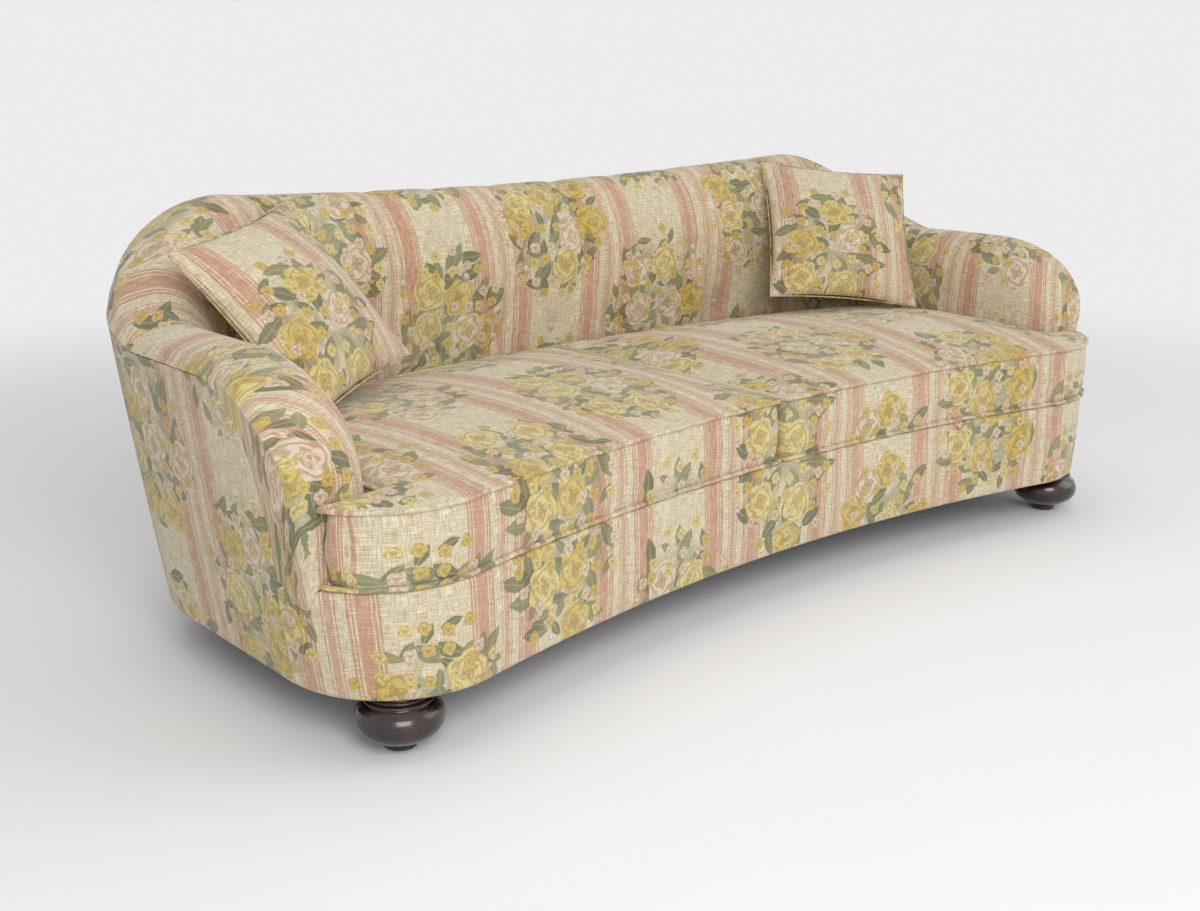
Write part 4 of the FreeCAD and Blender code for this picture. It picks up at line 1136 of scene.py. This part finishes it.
def placing_tree():
    """Make the tree that sets a small piece on every point, facing the way that it is told."""
    tree = bpy.data.node_groups.new("set_on_points", "GeometryNodeTree")
    face = tree.interface
    for name, kind in (("Geometry", "NodeSocketGeometry"), ("Piece", "NodeSocketObject"),
                       ("Size", "NodeSocketFloat"), ("Unevenness", "NodeSocketFloat"),
                       ("Seed", "NodeSocketInt"), ("Finish", "NodeSocketMaterial")):
        face.new_socket(name, in_out="INPUT", socket_type=kind)
    face.new_socket("Geometry", in_out="OUTPUT", socket_type="NodeSocketGeometry")
    start = tree.nodes.new("NodeGroupInput").outputs
    piece = node(tree, "GeometryNodeObjectInfo", {"Object": start["Piece"]})
    facing = node(tree, "GeometryNodeInputNamedAttribute", {"Name": "facing"},
                  data_type="FLOAT_VECTOR")
    turn = node(tree, "FunctionNodeAlignRotationToVector", {"Vector": facing.outputs[0]},
                axis="Z")
    least = node(tree, "ShaderNodeMath", {0: 1.0, 1: start["Unevenness"]},
                 operation="SUBTRACT").outputs[0]
    spread = node(tree, "FunctionNodeRandomValue", {2: least, 3: 1.0, "Seed": start["Seed"]},
                  data_type="FLOAT")
    size = node(tree, "ShaderNodeMath", {0: start["Size"], 1: spread.outputs[1]},
                operation="MULTIPLY").outputs[0]
    placed = node(tree, "GeometryNodeInstanceOnPoints",
                  {"Points": start["Geometry"], "Instance": piece.outputs["Geometry"],
                   "Rotation": turn.outputs[0], "Scale": size})
    whole = node(tree, "GeometryNodeRealizeInstances", {0: placed.outputs[0]})
    finished = node(tree, "GeometryNodeSetMaterial", {"Geometry": whole.outputs[0],
                                                      "Material": start["Finish"]})
    node(tree, "NodeGroupOutput", {0: finished.outputs[0]})
    return tree


PLACING = placing_tree()


def set_on_points(name, places, small, size, unevenness, seed, finish):
    """Set a copy of a small piece at each place, along its normal, as one mesh."""
    mesh = bpy.data.meshes.new(name)
    mesh.from_pydata([tuple(p) for p, n in places], [], [])
    facing = mesh.attributes.new("facing", "FLOAT_VECTOR", "POINT")
    facing.data.foreach_set("vector", np.array([n for p, n in places], float).ravel())
    piece = bpy.data.objects.new(name, mesh)
    bpy.context.scene.collection.objects.link(piece)
    modifier = piece.modifiers.new("set", "NODES")
    modifier.node_group = PLACING
    values = {"Piece": small, "Size": size, "Unevenness": unevenness, "Seed": seed,
              "Finish": finish}
    for item in PLACING.interface.items_tree:
        if item.in_out == "INPUT" and item.name in values:
            modifier[item.identifier] = values[item.name]
    piece.update_tag()
    bpy.context.view_layer.update()
    applied(piece)
    piece.data.shade_smooth()
    bpy.data.objects.remove(small)
    return piece


def lathed(name, profile, sides, finish, places=((0.0, 0.0),), uv=False):
    """Make a turned piece from radii and heights, once at each place."""
    points, faces, maps = [], [], []
    for px, py in places:
        start = len(points)
        for radius, z in profile:
            for k in range(sides):
                a = 2 * math.pi * k / sides
                points.append((px + radius * math.cos(a), py + radius * math.sin(a), z))
                maps.append((radius * math.cos(a), radius * math.sin(a)))
        faces += closed_faces(len(profile), sides, start)
    return made_object(name, points, faces, maps if uv else None, finish)


def make_buttons(places):
    """Make the cloth-covered buttons of the inside back."""
    profile = [(0.0105, -0.003), (0.0118, -0.001), (0.0122, 0.0008)]
    profile += [(0.0120 * math.cos(a), 0.0012 + 0.0048 * math.sin(a))
                for a in np.linspace(0.1, 1.5, 7)]
    small = lathed("button", profile, 24, linen, uv=True)
    lifted = [(p + n * 0.0005, n) for p, n in places]
    return set_on_points("covered_buttons", lifted, small, 1.0, 0.04, 3, linen)


def make_zip_teeth(side):
    """Make the zip's teeth along its tape."""
    low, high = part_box("zip_tape_" + side)
    radius = SEAT_REAR_RADIUS - 0.0045 + 0.003 + CLEARANCE + 0.0013
    sign = -1.0 if side == "left" else 1.0
    places = []
    for a in np.radians(np.linspace(1.6, 10.4, 150)):
        out = Vector((sign * math.sin(a), math.cos(a), 0.0))
        spot = out * radius + Vector((0.0, AXIS_Y, (low.z + high.z) / 2))
        places.append((spot, out))
    tooth = lathed("tooth", ((0.0006, 0.0), (0.0017, 0.0002), (0.0015, 0.0008),
                             (0.0006, 0.001)), 6, brass)
    return set_on_points("zip_teeth_" + side, places, tooth, 1.0, 0.05, 5, brass)


def make_staples():
    """Make the staples that hold the bottoming to the frame."""
    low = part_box("dust_cover")[0]
    places = []
    for a in np.linspace(-math.radians(12.5), math.radians(12.5), 44):
        for radius in (FRONT_RADIUS + 0.036, BACK_RADIUS - 0.026):
            if abs(radius * math.sin(a)) < 0.80:
                places.append((Vector((radius * math.sin(a), radius * math.cos(a) + AXIS_Y,
                                       low.z - 0.0001)), Vector((0, 0, -1))))
    staple = lathed("staple", ((0.0004, 0.0), (0.0030, 0.0001), (0.0026, 0.0006),
                               (0.0006, 0.0007)), 4, steel)
    return set_on_points("bottoming_staples", places, staple, 1.0, 0.1, 8, steel)


def make_feet():
    """Make the turned feet: a full bulb under a neck of rings."""
    bulb = catmull([(0.028, 0.0035), (0.030, 0.012), (0.052, 0.0235), (0.0665, 0.034),
                    (0.0735, 0.047), (0.0742, 0.060), (0.070, 0.0725), (0.0605, 0.0825)], 6)
    neck = catmull([(0.0555, 0.0845), (0.0550, 0.0865), (0.0585, 0.0885), (0.0590, 0.0905),
                    (0.0560, 0.0925), (0.0520, 0.0935), (0.0545, 0.0955), (0.0552, 0.0975),
                    (0.0525, 0.0995), (0.0495, 0.1005), (0.0500, 0.1040), (0.0500, 0.1078)], 4)
    profile = [(0.010, 0.0032)] + [tuple(p) for p in bulb] + [tuple(p) for p in neck]
    profile.append((0.010, 0.1079))
    places = [(side * x, y + AXIS_Y) for x, y in FEET for side in (-1, 1)]
    return lathed("turned_feet", profile, 72, espresso, places)


# Stage

def make_stage():
    """Make the pale floor, the soft lamps, the pale surround and the camera."""
    half = FLOOR_HALF
    floor = made_object("floor", [(-half, -half, 0), (half, -half, 0), (half, half, 0),
                                  (-half, half, 0)], [(0, 1, 2, 3)], None, floor_material())
    for name, place, aim, size, power in (
            ("key", (-2.6, -4.6, 3.1), (0.0, 0.0, 0.4), 3.2, 200.0),
            ("fill", (4.2, -3.2, 3.0), (0.0, 0.0, 0.4), 4.0, 70.0),
            ("top", (0.2, 0.6, 4.6), (0.0, 0.0, 0.3), 4.0, 40.0)):
        lamp = bpy.data.lights.new(name, "AREA")
        lamp.size = size
        lamp.energy = power
        holder = bpy.data.objects.new(name, lamp)
        holder.location = place
        look = Vector(aim) - Vector(place)
        holder.rotation_euler = look.to_track_quat("-Z", "Y").to_euler()
        bpy.context.scene.collection.objects.link(holder)
    world = bpy.data.worlds.new("surround")
    world.use_nodes = True
    tree = world.node_tree
    tree.nodes.clear()
    path = node(tree, "ShaderNodeLightPath").outputs
    seen = calc(tree, "MAXIMUM", path["Is Camera Ray"],
                calc(tree, "MAXIMUM", path["Is Glossy Ray"], path["Is Transmission Ray"]))
    shown = node(tree, "ShaderNodeBackground", {0: BACKDROP, 1: 1.0}).outputs[0]
    glow = node(tree, "ShaderNodeBackground", {0: (1.0, 1.0, 1.0, 1.0), 1: 0.42}).outputs[0]
    both = node(tree, "ShaderNodeMixShader", {0: seen, 1: glow, 2: shown}).outputs[0]
    node(tree, "ShaderNodeOutputWorld", {0: both})
    bpy.context.scene.world = world
    camera = bpy.data.cameras.new("camera")
    camera.lens = CAMERA_LENS
    camera.sensor_width = 36.0
    camera.clip_end = 200.0
    holder = bpy.data.objects.new("camera", camera)
    holder.location = CAMERA_PLACE
    holder.rotation_euler = (math.radians(CAMERA_TILT), 0.0, math.radians(CAMERA_TURN))
    bpy.context.scene.collection.objects.link(holder)
    bpy.context.scene.camera = holder
    bpy.context.scene.view_settings.view_transform = "Standard"


def floor_material():
    """Make the floor: matt near the sofa, where its shadow lies, and the backdrop far off."""
    material = bpy.data.materials.new("pale_floor")
    material.use_nodes = True
    tree = material.node_tree
    tree.nodes.clear()
    x, y, z = split(tree, node(tree, "ShaderNodeTexCoord").outputs["Object"])
    far = calc(tree, "SQRT", calc(tree, "ADD", calc(tree, "MULTIPLY", x, x),
                                  calc(tree, "MULTIPLY", y, y)))
    path = node(tree, "ShaderNodeLightPath").outputs
    away = calc(tree, "MULTIPLY", stepped(tree, far, 1.7, 4.0), path["Is Camera Ray"])
    grain = noise(tree, node(tree, "ShaderNodeTexCoord").outputs["Object"], 3.0, 3.0)
    tone = blend_colour(tree, grain, (0.87, 0.875, 0.885, 1), (0.89, 0.895, 0.905, 1))
    matt = node(tree, "ShaderNodeBsdfDiffuse", {0: tone}).outputs[0]
    glow = node(tree, "ShaderNodeEmission", {0: BACKDROP, 1: 1.0}).outputs[0]
    both = node(tree, "ShaderNodeMixShader", {0: away, 1: matt, 2: glow}).outputs[0]
    node(tree, "ShaderNodeOutputMaterial", {0: both})
    return material


def main():
    dress_frame()
    back, button_spots = make_back_pad()
    fixed = [(back, "linen", ("back_pad",)),
             (make_arm_covers(), "linen", ("arm_pads",)),
             (make_outside_covers(), "linen", ("side_panels", "back_panel")),
             (make_front_border(), "linen", ("front_border",)),
             (make_buttons(button_spots), "linen", ("back_buttons",)),
             (make_feet(), "foot_wood", ("bun_feet",)),
             (make_staples(), "steel", ())]
    for piece, slot, nodes in fixed:
        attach(piece, "sofa_frame")
        if nodes:
            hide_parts(*nodes)
    for side in ("left", "right"):
        seat = make_seat_cushion(side)
        piping = make_piping(side)
        teeth = make_zip_teeth(side)
        for piece, slot, cad in ((seat, "linen", "seat_cushion_" + side),
                                 (piping, "piping_linen", "seat_piping_" + side),
                                 (teeth, "zip_metal", "")):
            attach(piece, "seat_" + side)
            if cad:
                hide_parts(cad)
        scatter = make_scatter_cushion(side)
        seam = make_scatter_seam(side)
        for piece in (scatter, seam):
            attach(piece, "scatter_" + side)
        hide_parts("scatter_cushion_" + side)
    make_stage()


main()
